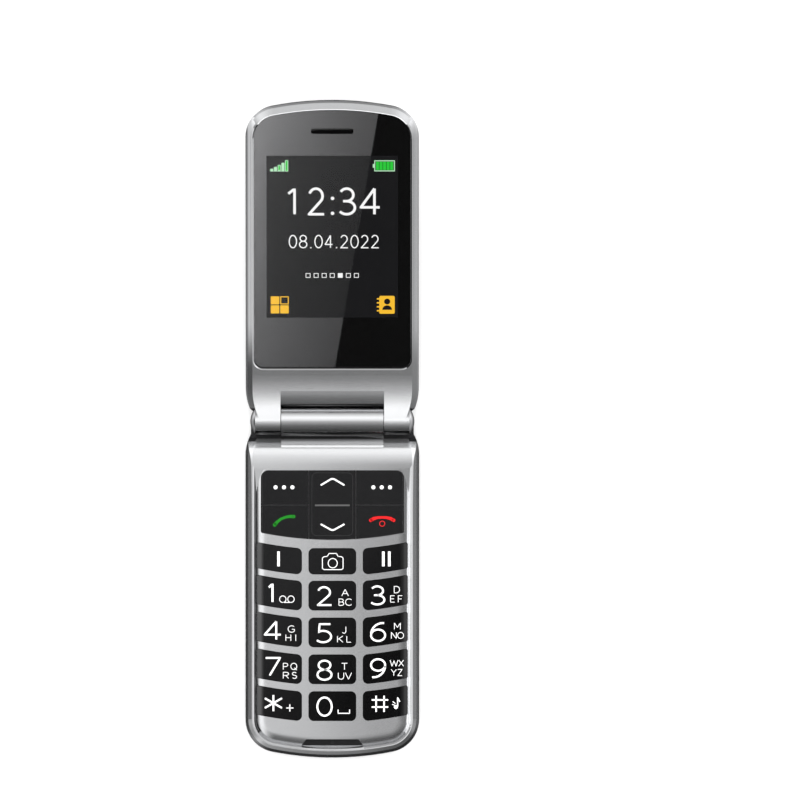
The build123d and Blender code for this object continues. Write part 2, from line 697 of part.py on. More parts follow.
battery_cover = prism(base_outline(COVER_INSET, waist=False, near=COVER_END), 0, COVER_THICK)
battery = Pos(0, -BATTERY_Y, battery_z) * fillet(Box(*BATTERY_SIZE).edges().filter_by(Axis.Z), BATTERY_CORNER)

# loudspeaker under its grille
speaker_top = COVER_THICK + MESH_THICK + SPEAKER_SIZE[2]
rear_case -= Pos(0, -SPEAKER_Y, 0) * box(
    -SPEAKER_SIZE[0] / 2 - FIT,
    SPEAKER_SIZE[0] / 2 + FIT,
    -SPEAKER_SIZE[1] / 2 - FIT,
    SPEAKER_SIZE[1] / 2 + FIT,
    0,
    speaker_top,
)
loudspeaker = Pos(0, -SPEAKER_Y, speaker_top - SPEAKER_SIZE[2] / 2) * fillet(
    Box(*SPEAKER_SIZE).edges().filter_by(Axis.Z), 2.0
)
speaker_mesh = Pos(0, -SPEAKER_Y, COVER_THICK + MESH_THICK / 2) * Box(
    SPEAKER_SIZE[0] - 1, SPEAKER_SIZE[1] - 1, MESH_THICK
)
for i in range(SLOT_COUNT):
    x = (i - (SLOT_COUNT - 1) / 2) * SLOT_PITCH
    battery_cover -= Pos(x, -SPEAKER_Y, 0) * extrude(SlotOverall(SLOT_SIZE[1], SLOT_SIZE[0], 90), amount=3)
nail = Pos(0, -BASE_LENGTH + COVER_INSET, 0) * Cylinder(NAIL_NOTCH, COVER_THICK * 1.2)
battery_cover -= nail

# main board and what it carries
board_face = base_outline(CASE_WALL + BOARD_GAP, waist=False, near=ROOM_START + BOARD_GAP)
main_board = prism(board_face, BOARD_BOTTOM, BOARD_TOP)
for x, y in base_screw_spots[2:]:
    main_board -= Pos(x, y, BOARD_TOP) * Cylinder(BOSS_RADIUS + BOARD_GAP, 4)

key_spots = [key_centre(name) for name in (*KEYS, *COMMANDS)]
nav_spots = [(0, -CLUSTER_TOP - NAV_PRESS), (0, -CLUSTER_BOTTOM + NAV_PRESS)]
sheet_end = tip_screw[1] - BOSS_RADIUS - 1.5
sheet_top = BOARD_TOP + DOME_SHEET
sheet_face = base_outline(CASE_WALL + 3 * BOARD_GAP, waist=False, near=ROOM_START + 5 * BOARD_GAP)
dome_sheet = prism(sheet_face, BOARD_TOP, sheet_top) & box(-WIDE, WIDE, -sheet_end, 0, 0, TALL)
for x, y in key_spots + nav_spots:
    dome_foot = Pos(x, y) * RegularPolygon(DOME_RADIUS, FACETED)
    dome_crest = Pos(x, y) * RegularPolygon(DOME_RADIUS / 2, FACETED)
    dome_sheet += tapered(dome_foot, sheet_top, dome_crest, DOME_TOP)

microphone = Pos(0, mic_y, BOARD_TOP) * Cylinder(MIC_RADIUS, MIC_HEIGHT, align=UP)
microphone -= Pos(0, mic_y, BOARD_TOP + MIC_HEIGHT) * Cylinder(MIC_HOLE, 0.6)

motor_z = COVER_THICK + BOARD_GAP + MOTOR_RADIUS
motor_x, motor_y = MOTOR_PLACE
can_end = motor_x + MOTOR_LENGTH / 4
vibration_motor = barrel(MOTOR_RADIUS, motor_x - MOTOR_LENGTH / 2, can_end, -motor_y, motor_z)
vibration_motor += barrel(0.5, can_end, motor_x + MOTOR_LENGTH / 2, -motor_y, motor_z)
motor_end = motor_x + MOTOR_LENGTH / 2
weight = barrel(MOTOR_RADIUS * 0.9, motor_x + MOTOR_LENGTH * 0.3, motor_end, -motor_y, motor_z)
lower_half = box(-WIDE, WIDE, -motor_y - MOTOR_RADIUS, -motor_y + MOTOR_RADIUS, 0, motor_z + 0.3)
vibration_motor += weight & lower_half
rear_case -= box(
    motor_x - MOTOR_LENGTH / 2 - BATTERY_GAP,
    motor_x + MOTOR_LENGTH / 2 + BATTERY_GAP,
    -motor_y - MOTOR_RADIUS - FIT,
    -motor_y + MOTOR_RADIUS + FIT,
    0,
    motor_z + MOTOR_RADIUS + FIT,
)

sim_x, sim_y = SIM_PLACE
sim_top = COVER_THICK + BOARD_GAP + SIM_SIZE[2]
sim_holder = Pos(sim_x, -sim_y, sim_top - SIM_SIZE[2] / 2) * Box(*SIM_SIZE)
sim_holder -= Pos(sim_x, -sim_y, sim_top - SIM_SIZE[2]) * Box(SIM_SIZE[0] - 1.6, SIM_SIZE[1] - 2.4, 1.4)
rear_case -= box(
    sim_x - SIM_SIZE[0] / 2 - FIT,
    sim_x + SIM_SIZE[0] / 2 + FIT,
    -sim_y - SIM_SIZE[1] / 2 - FIT,
    -sim_y + SIM_SIZE[1] / 2 + FIT,
    0,
    sim_top,
)

antenna = Pos(0, -ANTENNA_Y, BOARD_TOP) * Box(*ANTENNA_SIZE, align=UP)
antenna -= Pos(0, -ANTENNA_Y + 0.4, BOARD_TOP + 0.3) * Box(
    ANTENNA_SIZE[0] - 1.0, ANTENNA_SIZE[1], ANTENNA_SIZE[2], align=UP
)

battery_end = -BATTERY_Y + BATTERY_SIZE[1] / 2
contact_y = battery_end + CONTACT_SIZE[1] / 2
contact_blocks = [
    Pos((i - (CONTACT_COUNT - 1) / 2) * CONTACT_PITCH, contact_y, battery_z) * Box(*CONTACT_SIZE)
    for i in range(CONTACT_COUNT)
]
battery_contacts = Part() + contact_blocks
rear_case -= contact_blocks

pads = [
    box(
        side * PAD_X - PAD_SIZE[0] / 2,
        side * PAD_X + PAD_SIZE[0] / 2,
        -BASE_LENGTH - 1,
        -BASE_LENGTH + PAD_SIZE[1],
        PORT_Z - PAD_SIZE[2] / 2,
        PORT_Z + PAD_SIZE[2] / 2,
    )
    & prism(base_outline(), 0, CASE_TOP)
    for side in (-1, 1)
]
charge_contacts = Part() + pads
rear_case -= pads


def port_prism(shrink, depth_from, depth_to):
    """Rounded USB opening, swept into the tip between two depths."""
    width = PORT_SIZE[0] - 2 * shrink
    height = PORT_SIZE[1] - 2 * shrink
    face = Plane.XZ.offset(BASE_LENGTH - depth_to) * Pos(0, PORT_Z) * SlotOverall(width, height)
    return extrude(face, amount=depth_to - depth_from)


usb_socket = port_prism(0, 0.4, PORT_DEPTH) - port_prism(PORT_WALL, 0.3, PORT_DEPTH - 0.6)
tongue_size = (PORT_SIZE[0] * 0.72, PORT_DEPTH - 2.0, PORT_SIZE[1] * 0.22)
usb_socket += Pos(0, -BASE_LENGTH + 1.4 + tongue_size[1] / 2, PORT_Z) * Box(*tongue_size)
rear_case -= port_prism(-FIT, -2, PORT_DEPTH + FIT)

# button for emergencies, sunk in the back
sos_button = Pos(0, -SOS_Y, SOS_RECESS) * Cylinder(SOS_RADIUS, COVER_THICK + 0.7, align=UP)
sos_button = chamfer(sos_button.edges().sort_by(Axis.Z)[0], 0.3)
sos_button += Pos(0, -SOS_Y, COVER_THICK + FIT) * Cylinder(SOS_RADIUS + 0.7, 0.9, align=UP)
battery_cover -= Pos(0, -SOS_Y, 0) * Cylinder(SOS_RADIUS + KEY_GAP, 2 * COVER_THICK + 1)
rear_case -= Pos(0, -SOS_Y, 0) * Cylinder(SOS_RADIUS + 0.9, COVER_THICK + 0.95 + SOS_TRAVEL + 0.3, align=UP)

# volume rocker, flush in the left flank
rocker_x = -HALF_WIDTH + ROCKER_RECESS
volume_rocker = box(
    rocker_x,
    rocker_x + ROCKER_SIZE[0],
    -ROCKER_Y - ROCKER_SIZE[1] / 2,
    -ROCKER_Y + ROCKER_SIZE[1] / 2,
    ROCKER_Z - ROCKER_SIZE[2] / 2,
    ROCKER_Z + ROCKER_SIZE[2] / 2,
)
volume_rocker = fillet(volume_rocker.edges().filter_by(Axis.X), ROCKER_SIZE[2] * 0.45)
rocker_slot = Pos(-HALF_WIDTH - 1, -ROCKER_Y, ROCKER_Z) * Box(
    2 * (ROCKER_SIZE[0] + 1.9), ROCKER_SIZE[1] + 2 * KEY_GAP, ROCKER_SIZE[2] + 2 * KEY_GAP
)
rocker_slot = fillet(rocker_slot.edges().filter_by(Axis.X), ROCKER_SIZE[2] * 0.45 + KEY_GAP)
rear_case -= rocker_slot
flange_x = rocker_x + ROCKER_SIZE[0] - 0.7
flange_size = (0.7, ROCKER_SIZE[1] + 1.4, ROCKER_SIZE[2] + 1.0)
flange_room = (1.4, flange_size[1] + 2 * BATTERY_GAP, flange_size[2] + 2 * BATTERY_GAP)
volume_rocker += Pos(flange_x + 0.35, -ROCKER_Y, ROCKER_Z) * Box(*flange_size)
rear_case -= Pos(flange_x + 0.65, -ROCKER_Y, ROCKER_Z) * Box(*flange_room)

# ---------------------------------------------------------------- hinge pieces
hinge_barrel = across(barrel_profile(), -BARREL_HALF, BARREL_HALF) - barrel(HINGE_BORE, -WIDE, WIDE)
cartridge_inner = 2.0
plug_start = EAR_END - CAP_PLUG
hinge_cartridge = barrel(HINGE_BORE, cartridge_inner, BARREL_HALF)
hinge_cartridge += barrel(SHAFT_RADIUS, BARREL_HALF, plug_start - 0.2)
bush_inner = HINGE_BORE * 0.7
bush_reach = 4.0
flex_gap = 0.1
hinge_bush = barrel(HINGE_BORE, -plug_start, -BARREL_HALF - EAR_GAP)
hinge_bush += barrel(HINGE_BORE - RUNNING_FIT, -BARREL_HALF - EAR_GAP, -BARREL_HALF + bush_reach)
hinge_bush -= barrel(bush_inner, -WIDE, 0)
hinge_flex = barrel(HINGE_BORE - 0.4, -BARREL_HALF + bush_reach + 0.5, cartridge_inner - 0.5)
hinge_flex -= barrel(HINGE_BORE - 1.0, -WIDE, WIDE)
lid_flex = barrel(bush_inner - flex_gap, -plug_start, -BARREL_HALF + bush_reach)
lid_flex -= barrel(bush_inner - 0.6, -WIDE, WIDE)
hinge_cam = barrel(HINGE_BORE, BARREL_HALF + EAR_GAP, plug_start)
hinge_cam -= barrel(SHAFT_RADIUS + RUNNING_FIT, 0, WIDE)

dome_sphere = (EAR_RADIUS**2 + CAP_DOME**2) / (2 * CAP_DOME)
dome_turn = math.degrees(math.asin(EAR_RADIUS / dome_sphere))
dome_centre = (0, EAR_END + CAP_DOME - dome_sphere)
cap_half = make_face(
    [
        swing(dome_centre, dome_sphere, 90, 90 - dome_turn),
        Polyline(
            (EAR_RADIUS, EAR_END),
            (HINGE_BORE, EAR_END),
            (HINGE_BORE, plug_start),
            (0, plug_start),
            (0, EAR_END + CAP_DOME),
        ),
    ]
)
cap = Pos(0, 0, AXIS_Z) * Rot(0, 90, 0) * revolve(Plane.XZ * cap_half, Axis.Z)
hinge_caps = Part() + [cap, mirror(cap, about=Plane.YZ)]

# ---------------------------------------------------------------- keys
def pressed_key(face, flange, spots, flange_top=FLANGE_TOP):
    """Key cap under the crowned sheet, with its retaining flange and plunger."""
    body = prism(face, FLANGE_BOTTOM, BASE_TOP + MARGIN) & key_sheet
    body += prism(flange, FLANGE_BOTTOM, flange_top)
    for x, y in spots:
        body += prism(Pos(x, y) * RegularPolygon(PLUNGER_RADIUS, FACETED), PLUNGER_BOTTOM, FLANGE_BOTTOM)
    return body


key_parts = {}
for name in KEYS:
    key_parts[name] = pressed_key(key_outline(name), key_outline(name, FLANGE_LIP), [key_centre(name)])
for name, (cell, _, _, _) in COMMANDS.items():
    key_parts[name] = pressed_key(cluster_cell(cell), cluster_cell(cell, FLANGE_LIP), [key_centre(name)])

nav_key = pressed_key(
    cluster_cell("nav"),
    cluster_cell("nav", FLANGE_LIP),
    nav_spots,
    flange_top=FLANGE_TOP - NAV_FLANGE_DROP,
)
plateau_y = -(NAV_PLATEAU_TOP + NAV_PLATEAU_BOTTOM) / 2
plateau = Pos(0, plateau_y) * Rectangle(2 * NAV_PLATEAU_HALF, NAV_PLATEAU_BOTTOM - NAV_PLATEAU_TOP)
plateau = fillet(plateau.vertices(), KEY_CORNER)
raised = extrude(Pos(0, 0, PLATE_TOP + KEY_RISE) * plateau, amount=NAV_RISE, taper=30)
nav_key += raised
key_parts["nav_key"] = nav_key


# ---------------------------------------------------------------- lid shell pieces, drawn flat open
def lid_form():
    """Silver front of the lid with sloping flanks; the ramp rises above the rim."""
    foot = tapered(lid_outline(LID_JOINT_INSET), LID_JOINT_Z, lid_outline(BEZEL_STEP), LID_WIDEST_Z)
    low = tapered(lid_outline(BEZEL_STEP), LID_WIDEST_Z, lid_outline(LID_KNEE), LID_KNEE_Z)
    high = tapered(lid_outline(LID_KNEE), LID_KNEE_Z, lid_outline(LID_RIM), LID_TOP)
    return foot + low + high + prism(lid_outline(LID_RIM), LID_TOP, AXIS_Z + EAR_RADIUS + 1)


middle_half = BARREL_HALF + EAR_GAP
side_cut = across(lid_profile(), -WIDE, WIDE)
middle_cut = across(lid_middle_profile(), -middle_half, middle_half)
middle_slab = box(-middle_half, middle_half, -TALL, RAMP_START, -MARGIN, TALL)
lid_silver = lid_form() & side_cut
lid_silver = (lid_silver - middle_slab) + (lid_form() & middle_slab & middle_cut)
bezel_zone = box(-WIDE, WIDE, RAMP_START, LID_LENGTH + MARGIN, -MARGIN, TALL)
lid_core = prism(lid_outline(LID_SEAM_INSET), LID_JOINT_Z - MARGIN, TALL)
lid_bezel = (lid_silver & bezel_zone) - lid_core
lid_frame = lid_silver - (bezel_zone - lid_core)
ear = barrel(EAR_RADIUS, middle_half, EAR_END)
lid_frame += both_sides(ear)
lid_frame -= both_sides(barrel(EAR_RADIUS, EAR_END, WIDE))
lid_frame -= barrel(HINGE_BORE, -WIDE, WIDE)


# display side
def lens_face(grow=0.0):
    face = lid_outline(LENS_INSET - grow, near=LENS_START - grow, waist=False)
    return fillet(face.vertices().sort_by(Axis.Y)[:2], LENS_CORNER + grow)


lens_bottom = LENS_TOP - LENS_THICK
lid_frame -= prism(lens_face(LENS_GAP), lens_bottom, TALL)
lid_frame -= tapered(
    lens_face(LENS_GAP), LID_TOP - LENS_CHAMFER, lens_face(LENS_GAP + LENS_CHAMFER), LID_TOP
)
lcd_y = (LCD_START + LCD_END) / 2
lcd_size = (2 * LCD_HALF, LCD_END - LCD_START)
lid_frame -= Pos(0, lcd_y, LID_JOINT_Z) * Box(lcd_size[0] + 2 * LENS_GAP, lcd_size[1] + 2 * LENS_GAP, 10)
lcd_module = Pos(0, lcd_y, LCD_BOTTOM) * Box(*lcd_size, LCD_TOP - LCD_BOTTOM, align=UP)
slot = Pos(0, SLOT_S) * SlotOverall(*EAR_SLOT)
display_lens = prism(lens_face(), lens_bottom, LENS_TOP)
display_lens -= prism(slot, lens_bottom - MARGIN, LENS_TOP + MARGIN)
earpiece_mesh = extrude(
    Pos(0, SLOT_S, lens_bottom) * SlotOverall(EAR_SLOT[0] - 2 * FIT, EAR_SLOT[1] - 2 * FIT), amount=MESH_THICK
)
lid_frame -= Pos(0, SLOT_S, LID_JOINT_Z) * Box(EAR_SLOT[0] - 2.0, EAR_SLOT[1] - 0.4, 10)
earpiece = Pos(0, SLOT_S, LID_BOARD_BOTTOM + BOARD_GAP) * Box(
    *EARPIECE_SIZE, LID_JOINT_Z - LID_BOARD_BOTTOM - BOARD_GAP, align=UP
)
earpiece = fillet(earpiece.edges().filter_by(Axis.Z), 2.0)

lid_screw_spots = [(side * x, y) for x, y in LID_SCREW_PLACES for side in (-1, 1)]
flip_over = {"head_radius": LID_SCREW_HEAD_RADIUS, "radius": 0.6}
driven = [screw(LID_SCREW_LENGTH, -lens_bottom, spot, **flip_over) for spot in lid_screw_spots]
bored = [screw_hole(LID_SCREW_LENGTH, -lens_bottom, spot, **flip_over) for spot in lid_screw_spots]
lid_screws = Part() + [mirror(part, about=Plane.XY) for part in driven]
lid_screw_holes = [mirror(part, about=Plane.XY) for part in bored]
lid_frame -= [hole & box(-WIDE, WIDE, 0, LID_LENGTH, 0, lens_bottom) for hole in lid_screw_holes]

# outer cover
lid_cover = prism(lid_outline(LID_JOINT_INSET), LID_OUTER, LID_JOINT_Z)
cover_edges = [
    e for e in lid_cover.edges() if e.center().Z < LID_OUTER + 0.01 and e.center().Y > MARGIN - BEYOND_AXIS
]
lid_cover = fillet(cover_edges, min(LID_EDGE_RADIUS, LID_JOINT_Z - LID_OUTER - FIT))
lid_cover = lid_cover & across(lid_profile(), -WIDE, WIDE)
lid_cover -= barrel(EAR_RADIUS, -WIDE, WIDE)
lid_cover -= barrel(BARREL_RADIUS + BARREL_CLEARANCE, -middle_half, middle_half)
cover_room = lid_outline(LID_WALL, waist=False, near=LID_BOARD_START - BOARD_GAP)
lid_cover -= prism(cover_room, COVER_FLOOR, LID_JOINT_Z + MARGIN)
for x, y in lid_screw_spots:
    lid_cover += Pos(x, y, COVER_FLOOR) * Cylinder(LID_BOSS_RADIUS, LID_JOINT_Z - COVER_FLOOR, align=UP)
lid_cover -= [hole & box(-WIDE, WIDE, 0, LID_LENGTH, 0, LID_JOINT_Z) for hole in lid_screw_holes]

window_face = Pos(0, WINDOW_S) * RectangleRounded(*WINDOW_SIZE, WINDOW_CORNER)
window_room = Pos(0, WINDOW_S) * RectangleRounded(
    WINDOW_SIZE[0] + 2 * FIT, WINDOW_SIZE[1] + 2 * FIT, WINDOW_CORNER + FIT
)
window_back = LID_OUTER + WINDOW_THICK
outer_window = prism(window_face, LID_OUTER, window_back)
lid_cover -= prism(window_room, LID_OUTER - 1, window_back)
lid_cover -= Pos(0, WINDOW_S, window_back) * Box(WINDOW_SIZE[0] - 3, WINDOW_SIZE[1] - 3, 2)
outer_display = Pos(0, WINDOW_S, COVER_FLOOR) * Box(*WINDOW_SIZE, OUTER_DISPLAY_THICK, align=UP)

ring_back = LID_OUTER + 0.6
ring_front = LID_OUTER - RING_PROUD
camera_ring = Pos(0, CAMERA_S, ring_front) * Cylinder(CAMERA_RING, ring_back - ring_front, align=UP)
camera_ring = chamfer(camera_ring.edges().sort_by(Axis.Z)[0], RING_PROUD * 0.8)
camera_ring -= Pos(0, CAMERA_S, LID_OUTER) * Cylinder(CAMERA_RADIUS + FIT, 4)
camera_module = Pos(0, CAMERA_S, LID_OUTER) * Cylinder(
    CAMERA_RADIUS, LID_BOARD_BOTTOM - BOARD_GAP / 2 - LID_OUTER, align=UP
)
lid_cover -= Pos(0, CAMERA_S, LID_OUTER) * Cylinder(CAMERA_RING + FIT, 2 * (ring_back - LID_OUTER))
lid_cover -= Pos(0, CAMERA_S, LID_OUTER) * Cylinder(CAMERA_RADIUS + FIT, 6)

lid_board = prism(
    lid_outline(LID_WALL + BOARD_GAP, waist=False, near=LID_BOARD_START), LID_BOARD_BOTTOM, LID_BOARD_TOP
)
for x, y in lid_screw_spots:
    lid_board -= Pos(x, y, LID_BOARD_BOTTOM) * Cylinder(LID_BOSS_RADIUS + BOARD_GAP, 3)
lid_board -= Pos(0, SLOT_S, LID_BOARD_BOTTOM) * Box(EARPIECE_SIZE[0] + 1, EARPIECE_SIZE[1] + 1, 3)
magnet_x, magnet_y = MAGNET_PLACE
lid_magnet = Pos(magnet_x, magnet_y, COVER_FLOOR) * Box(*MAGNET_SIZE, align=UP)

# ---------------------------------------------------------------- placing and writing
base_place = Pos(0, ORIGIN_SHIFT, 0)
lid_place = Pos(0, ORIGIN_SHIFT, AXIS_Z) * Rot(LID_TILT, 0, 0) * Pos(0, 0, -AXIS_Z)

base_parts = {
    "keypad_frame": keypad_frame,
    "base_bezel": base_bezel,
    "rear_case": rear_case,
    "battery_cover": battery_cover,
    "battery": battery,
    "main_board": main_board,
    "dome_sheet": dome_sheet,
    "loudspeaker": loudspeaker,
    "speaker_mesh": speaker_mesh,
    "microphone": microphone,
    "vibration_motor": vibration_motor,
    "usb_socket": usb_socket,
    "sim_holder": sim_holder,
    "antenna": antenna,
    "battery_contacts": battery_contacts,
    "charge_contacts": charge_contacts,
    "base_screws": base_screws,
    "hinge_barrel": hinge_barrel,
    "hinge_cartridge": hinge_cartridge,
    "hinge_flex": hinge_flex,
    "sos_button": sos_button,
    "volume_rocker": volume_rocker,
}
lid_parts = {
    "lid_frame": lid_frame,
    "lid_bezel": lid_bezel,
    "display_lens": display_lens,
    "lcd_module": lcd_module,
    "lid_board": lid_board,
    "earpiece": earpiece,
    "earpiece_mesh": earpiece_mesh,
    "lid_cover": lid_cover,
    "outer_window": outer_window,
    "outer_display": outer_display,
    "camera_module": camera_module,
    "camera_ring": camera_ring,
    "lid_screws": lid_screws,
    "lid_magnet": lid_magnet,
    "hinge_cam": hinge_cam,
    "hinge_bush": hinge_bush,
    "hinge_caps": hinge_caps,
    "lid_flex": lid_flex,
}
for group, place in ((base_parts, base_place), (key_parts, base_place), (lid_parts, lid_place)):
    for name, shape in group.items():
        export_step(place * shape, f"parts/{name}.step")
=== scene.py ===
import json
import math
import bmesh
import bpy
from mathutils import Matrix, Vector
from mathutils.bvhtree import BVHTree


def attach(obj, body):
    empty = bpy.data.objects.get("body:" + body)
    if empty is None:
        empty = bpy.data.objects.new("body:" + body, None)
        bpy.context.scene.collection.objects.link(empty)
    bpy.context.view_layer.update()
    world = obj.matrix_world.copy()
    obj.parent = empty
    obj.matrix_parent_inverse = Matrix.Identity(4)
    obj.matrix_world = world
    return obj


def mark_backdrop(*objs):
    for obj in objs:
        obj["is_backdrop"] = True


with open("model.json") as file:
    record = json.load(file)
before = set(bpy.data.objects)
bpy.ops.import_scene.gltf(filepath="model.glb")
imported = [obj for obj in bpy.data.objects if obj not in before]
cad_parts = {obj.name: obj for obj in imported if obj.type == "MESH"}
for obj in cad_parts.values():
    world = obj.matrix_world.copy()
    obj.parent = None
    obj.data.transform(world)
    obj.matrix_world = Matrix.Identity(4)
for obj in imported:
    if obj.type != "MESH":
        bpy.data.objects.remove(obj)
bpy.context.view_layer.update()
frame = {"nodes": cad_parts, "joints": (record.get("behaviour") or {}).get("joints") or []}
scene = bpy.context.scene
nodes = frame["nodes"]
mm = 0.001
tiny = 1e-6  # points nearer than this are one
far = 1000  # past everything, for a range with one open end
hinge = next(j for j in frame["joints"] if j["name"] == "lid_hinge")
hingePoint = Vector(hinge["pos_m"])
hingeY = hingePoint.y / mm
lidTilt = math.radians(180 - hinge["range_deg"][1])  # the open lid stands this much above flat
lidNormal = Vector((0, -math.sin(lidTilt), math.cos(lidTilt)))
lidAlong = Vector((0, math.cos(lidTilt), math.sin(lidTilt)))
print("frame loaded:", len(nodes), "nodes")


# places in mm: x across, run away from the hinge, height over the table
def onBase(x, run, height):
    return Vector((x * mm, hingePoint.y - run * mm, height * mm))


def onLid(x, run, height):
    rise = height * mm - hingePoint.z
    across, up = math.cos(lidTilt), math.sin(lidTilt)
    y = hingePoint.y + run * mm * across - rise * up
    z = hingePoint.z + run * mm * up + rise * across
    return Vector((x * mm, y, z))


# shader writing
class Wire:
    def __init__(self, tree, socket):
        self.tree = tree
        self.socket = socket

    def math(self, operation, *others, clamp=False):
        return self.tree.add("ShaderNodeMath", dict(operation=operation, use_clamp=clamp), [self, *others])

    def __add__(self, other):
        return self.math("ADD", other)

    __radd__ = __add__

    def __sub__(self, other):
        return self.math("SUBTRACT", other)

    def __rsub__(self, other):
        return self.tree.add("ShaderNodeMath", dict(operation="SUBTRACT"), [other, self])

    def __mul__(self, other):
        return self.math("MULTIPLY", other)

    __rmul__ = __mul__

    def __truediv__(self, other):
        return self.math("DIVIDE", other)

    def __rtruediv__(self, other):
        return self.tree.add("ShaderNodeMath", dict(operation="DIVIDE"), [other, self])

    def __neg__(self):
        return self * -1

    def clamped(self):
        return self.math("ADD", 0.0, clamp=True)

    def step(self, low, high):
        return self.tree.add("ShaderNodeMapRange", dict(interpolation_type="SMOOTHSTEP"), {
            "Value": self, "From Min": low, "From Max": high})


class ShaderTree:
    def __init__(self, tree):
        self.tree = tree
        tree.nodes.clear()

    def add(self, kind, settings=None, inputs=None, output=0):
        node = self.tree.nodes.new(kind)
        for name, value in (settings or {}).items():
            if name == "stops":
                ramp = node.color_ramp
                while len(ramp.elements) > 1:
                    ramp.elements.remove(ramp.elements[-1])
                for i, (position, tone) in enumerate(value):
                    element = ramp.elements[0] if i == 0 else ramp.elements.new(position)
                    element.position = position
                    element.color = grey(tone)
            else:
                setattr(node, name, value)
        pairs = inputs.items() if isinstance(inputs, dict) else enumerate(inputs or [])
        for name, value in pairs:
            self.plug(node.inputs[name], value)
        self.last = node
        return Wire(self, node.outputs[output]) if len(node.outputs) else None

    def plug(self, socket, value):
        if isinstance(value, Wire):
            self.tree.links.new(value.socket, socket)
        elif hasattr(value, "__len__"):
            socket.default_value = tuple(value) + (1,) * (len(socket.default_value) - len(value))
        else:
            socket.default_value = value

    def out(self, index):
        return Wire(self, self.last.outputs[index])

    def place(self):
        return self.add("ShaderNodeTexCoord", output="Object")

    def split(self, vector):
        self.add("ShaderNodeSeparateXYZ", inputs=[vector])
        return self.out(0), self.out(1), self.out(2)

    def noise(self, scale, detail=2.0, roughness=0.5, where=None, seed=0.0):
        return self.add("ShaderNodeTexNoise", dict(noise_dimensions="4D"), {
            "Vector": where or self.place(), "W": seed,
            "Scale": scale, "Detail": detail, "Roughness": roughness})

    def mixColour(self, factor, first, second):
        return self.add("ShaderNodeMix", dict(data_type="RGBA"), {0: factor, 6: first, 7: second}, 2)

    def mottled(self, factor, tone, dark, light):
        return self.mixColour(factor, tinted(tone, dark), tinted(tone, light))

    def flatNormal(self):
        return self.add("ShaderNodeNewGeometry", output="True Normal")

    def backSide(self):
        return self.add("ShaderNodeNewGeometry", output="Backfacing")

    def bump(self, height, strength, distance):
        return self.add("ShaderNodeBump", inputs={
            "Height": height, "Strength": strength, "Distance": distance})

    def finish(self, shader):
        self.add("ShaderNodeOutputMaterial", inputs={"Surface": shader})

    def surface(self, inputs):
        self.finish(self.add("ShaderNodeBsdfPrincipled", inputs=inputs))


def material(name):
    made = bpy.data.materials.new(name)
    made.use_nodes = True
    return made, ShaderTree(made.node_tree)


def linked(name, data):
    thing = bpy.data.objects.new(name, data)
    scene.collection.objects.link(thing)
    return thing


def grey(level):
    return (level, level, level, 1)


def tinted(colour, factor):
    return tuple(min(1.0, c * factor) for c in colour[:3]) + (1,)


# finishes: tones are linear, sizes of grain in metres
def silverLacquer():
    look = dict(tone=(0.62, 0.625, 0.635), roughness=0.24, flakeSize=0.00012, flakeDepth=0.0000016,
                cloudSize=0.012, coat=0.15, coatRoughness=0.06)
    made, t = material("silverLacquer")
    flake = t.noise(1 / look["flakeSize"], 1.0)
    cloud = t.noise(1 / look["cloudSize"], 3.0, seed=2.0)
    shares = flake.step(0.35, 0.65) * 0.5 + cloud * 0.5
    t.surface({
        "Base Color": t.mottled(shares, look["tone"], dark=0.94, light=1.05),
        "Metallic": 1.0, "Roughness": look["roughness"] - 0.03 + cloud * 0.05 + flake * 0.02,
        "Normal": t.bump(flake, 0.25, look["flakeDepth"]),
        "Coat Weight": look["coat"], "Coat Roughness": look["coatRoughness"]})
    return made


def mattePlastic(name, tone, roughness, grain, depth):
    look = dict(variation=0.12, patchScale=140)
    made, t = material(name)
    grains = t.noise(1 / grain, 2.0, 0.6)
    patches = t.noise(look["patchScale"], 3.0, seed=4.0)
    shares = patches * 0.6 + grains * 0.4
    t.surface({
        "Base Color": t.mottled(shares, tone, 1 - look["variation"], 1 + look["variation"]),
        "Roughness": roughness - 0.05 + patches * 0.1, "Normal": t.bump(grains, 0.5, depth)})
    return made


def smears(t):
    return t.noise(180, detail=4.0, roughness=0.6, seed=1.0)


def gloss(t, patches, colour, roughness, specular):
    # a moulded gloss with faint smears and a very fine grain
    look = dict(smear=0.05, grainScale=5200, grainDepth=0.000002)
    fine = t.noise(look["grainScale"], 2.0, seed=3.0)
    t.surface({
        "Base Color": colour, "Roughness": roughness + patches.step(0.45, 0.75) * look["smear"] + fine * 0.01,
        "Specular IOR Level": specular, "Normal": t.bump(fine, 0.15, look["grainDepth"])})


def glossPlastic(name, tone, roughness, specular=0.5):
    made, t = material(name)
    patches = smears(t)
    gloss(t, patches, t.mottled(patches, tone, dark=0.9, light=1.1), roughness, specular)
    return made


def shadedPadGloss():
    # the keypad's black, with painted shade: darker towards the tip and the right
    look = dict(tone=(0.009, 0.009, 0.0094), deep=(0.0022, 0.0022, 0.0023), start=43.1, length=43.6,
                left=-10.1, width=21.8, alongShare=0.65, acrossShare=0.5, roughness=0.2, specular=0.12)
    made, t = material("shadedPadGloss")
    across, along, _ = t.split(t.place())
    # painted shade: the darker tone's share grows towards the tip and to the right
    fade = (hingeY - look["start"] - along / mm) * (look["alongShare"] / look["length"]) + (
        across / mm - look["left"]) * (look["acrossShare"] / look["width"])
    patches = smears(t)
    colour = t.mixColour(fade.clamped(), look["tone"], look["deep"])
    gloss(t, patches, colour, look["roughness"], look["specular"])
    return made


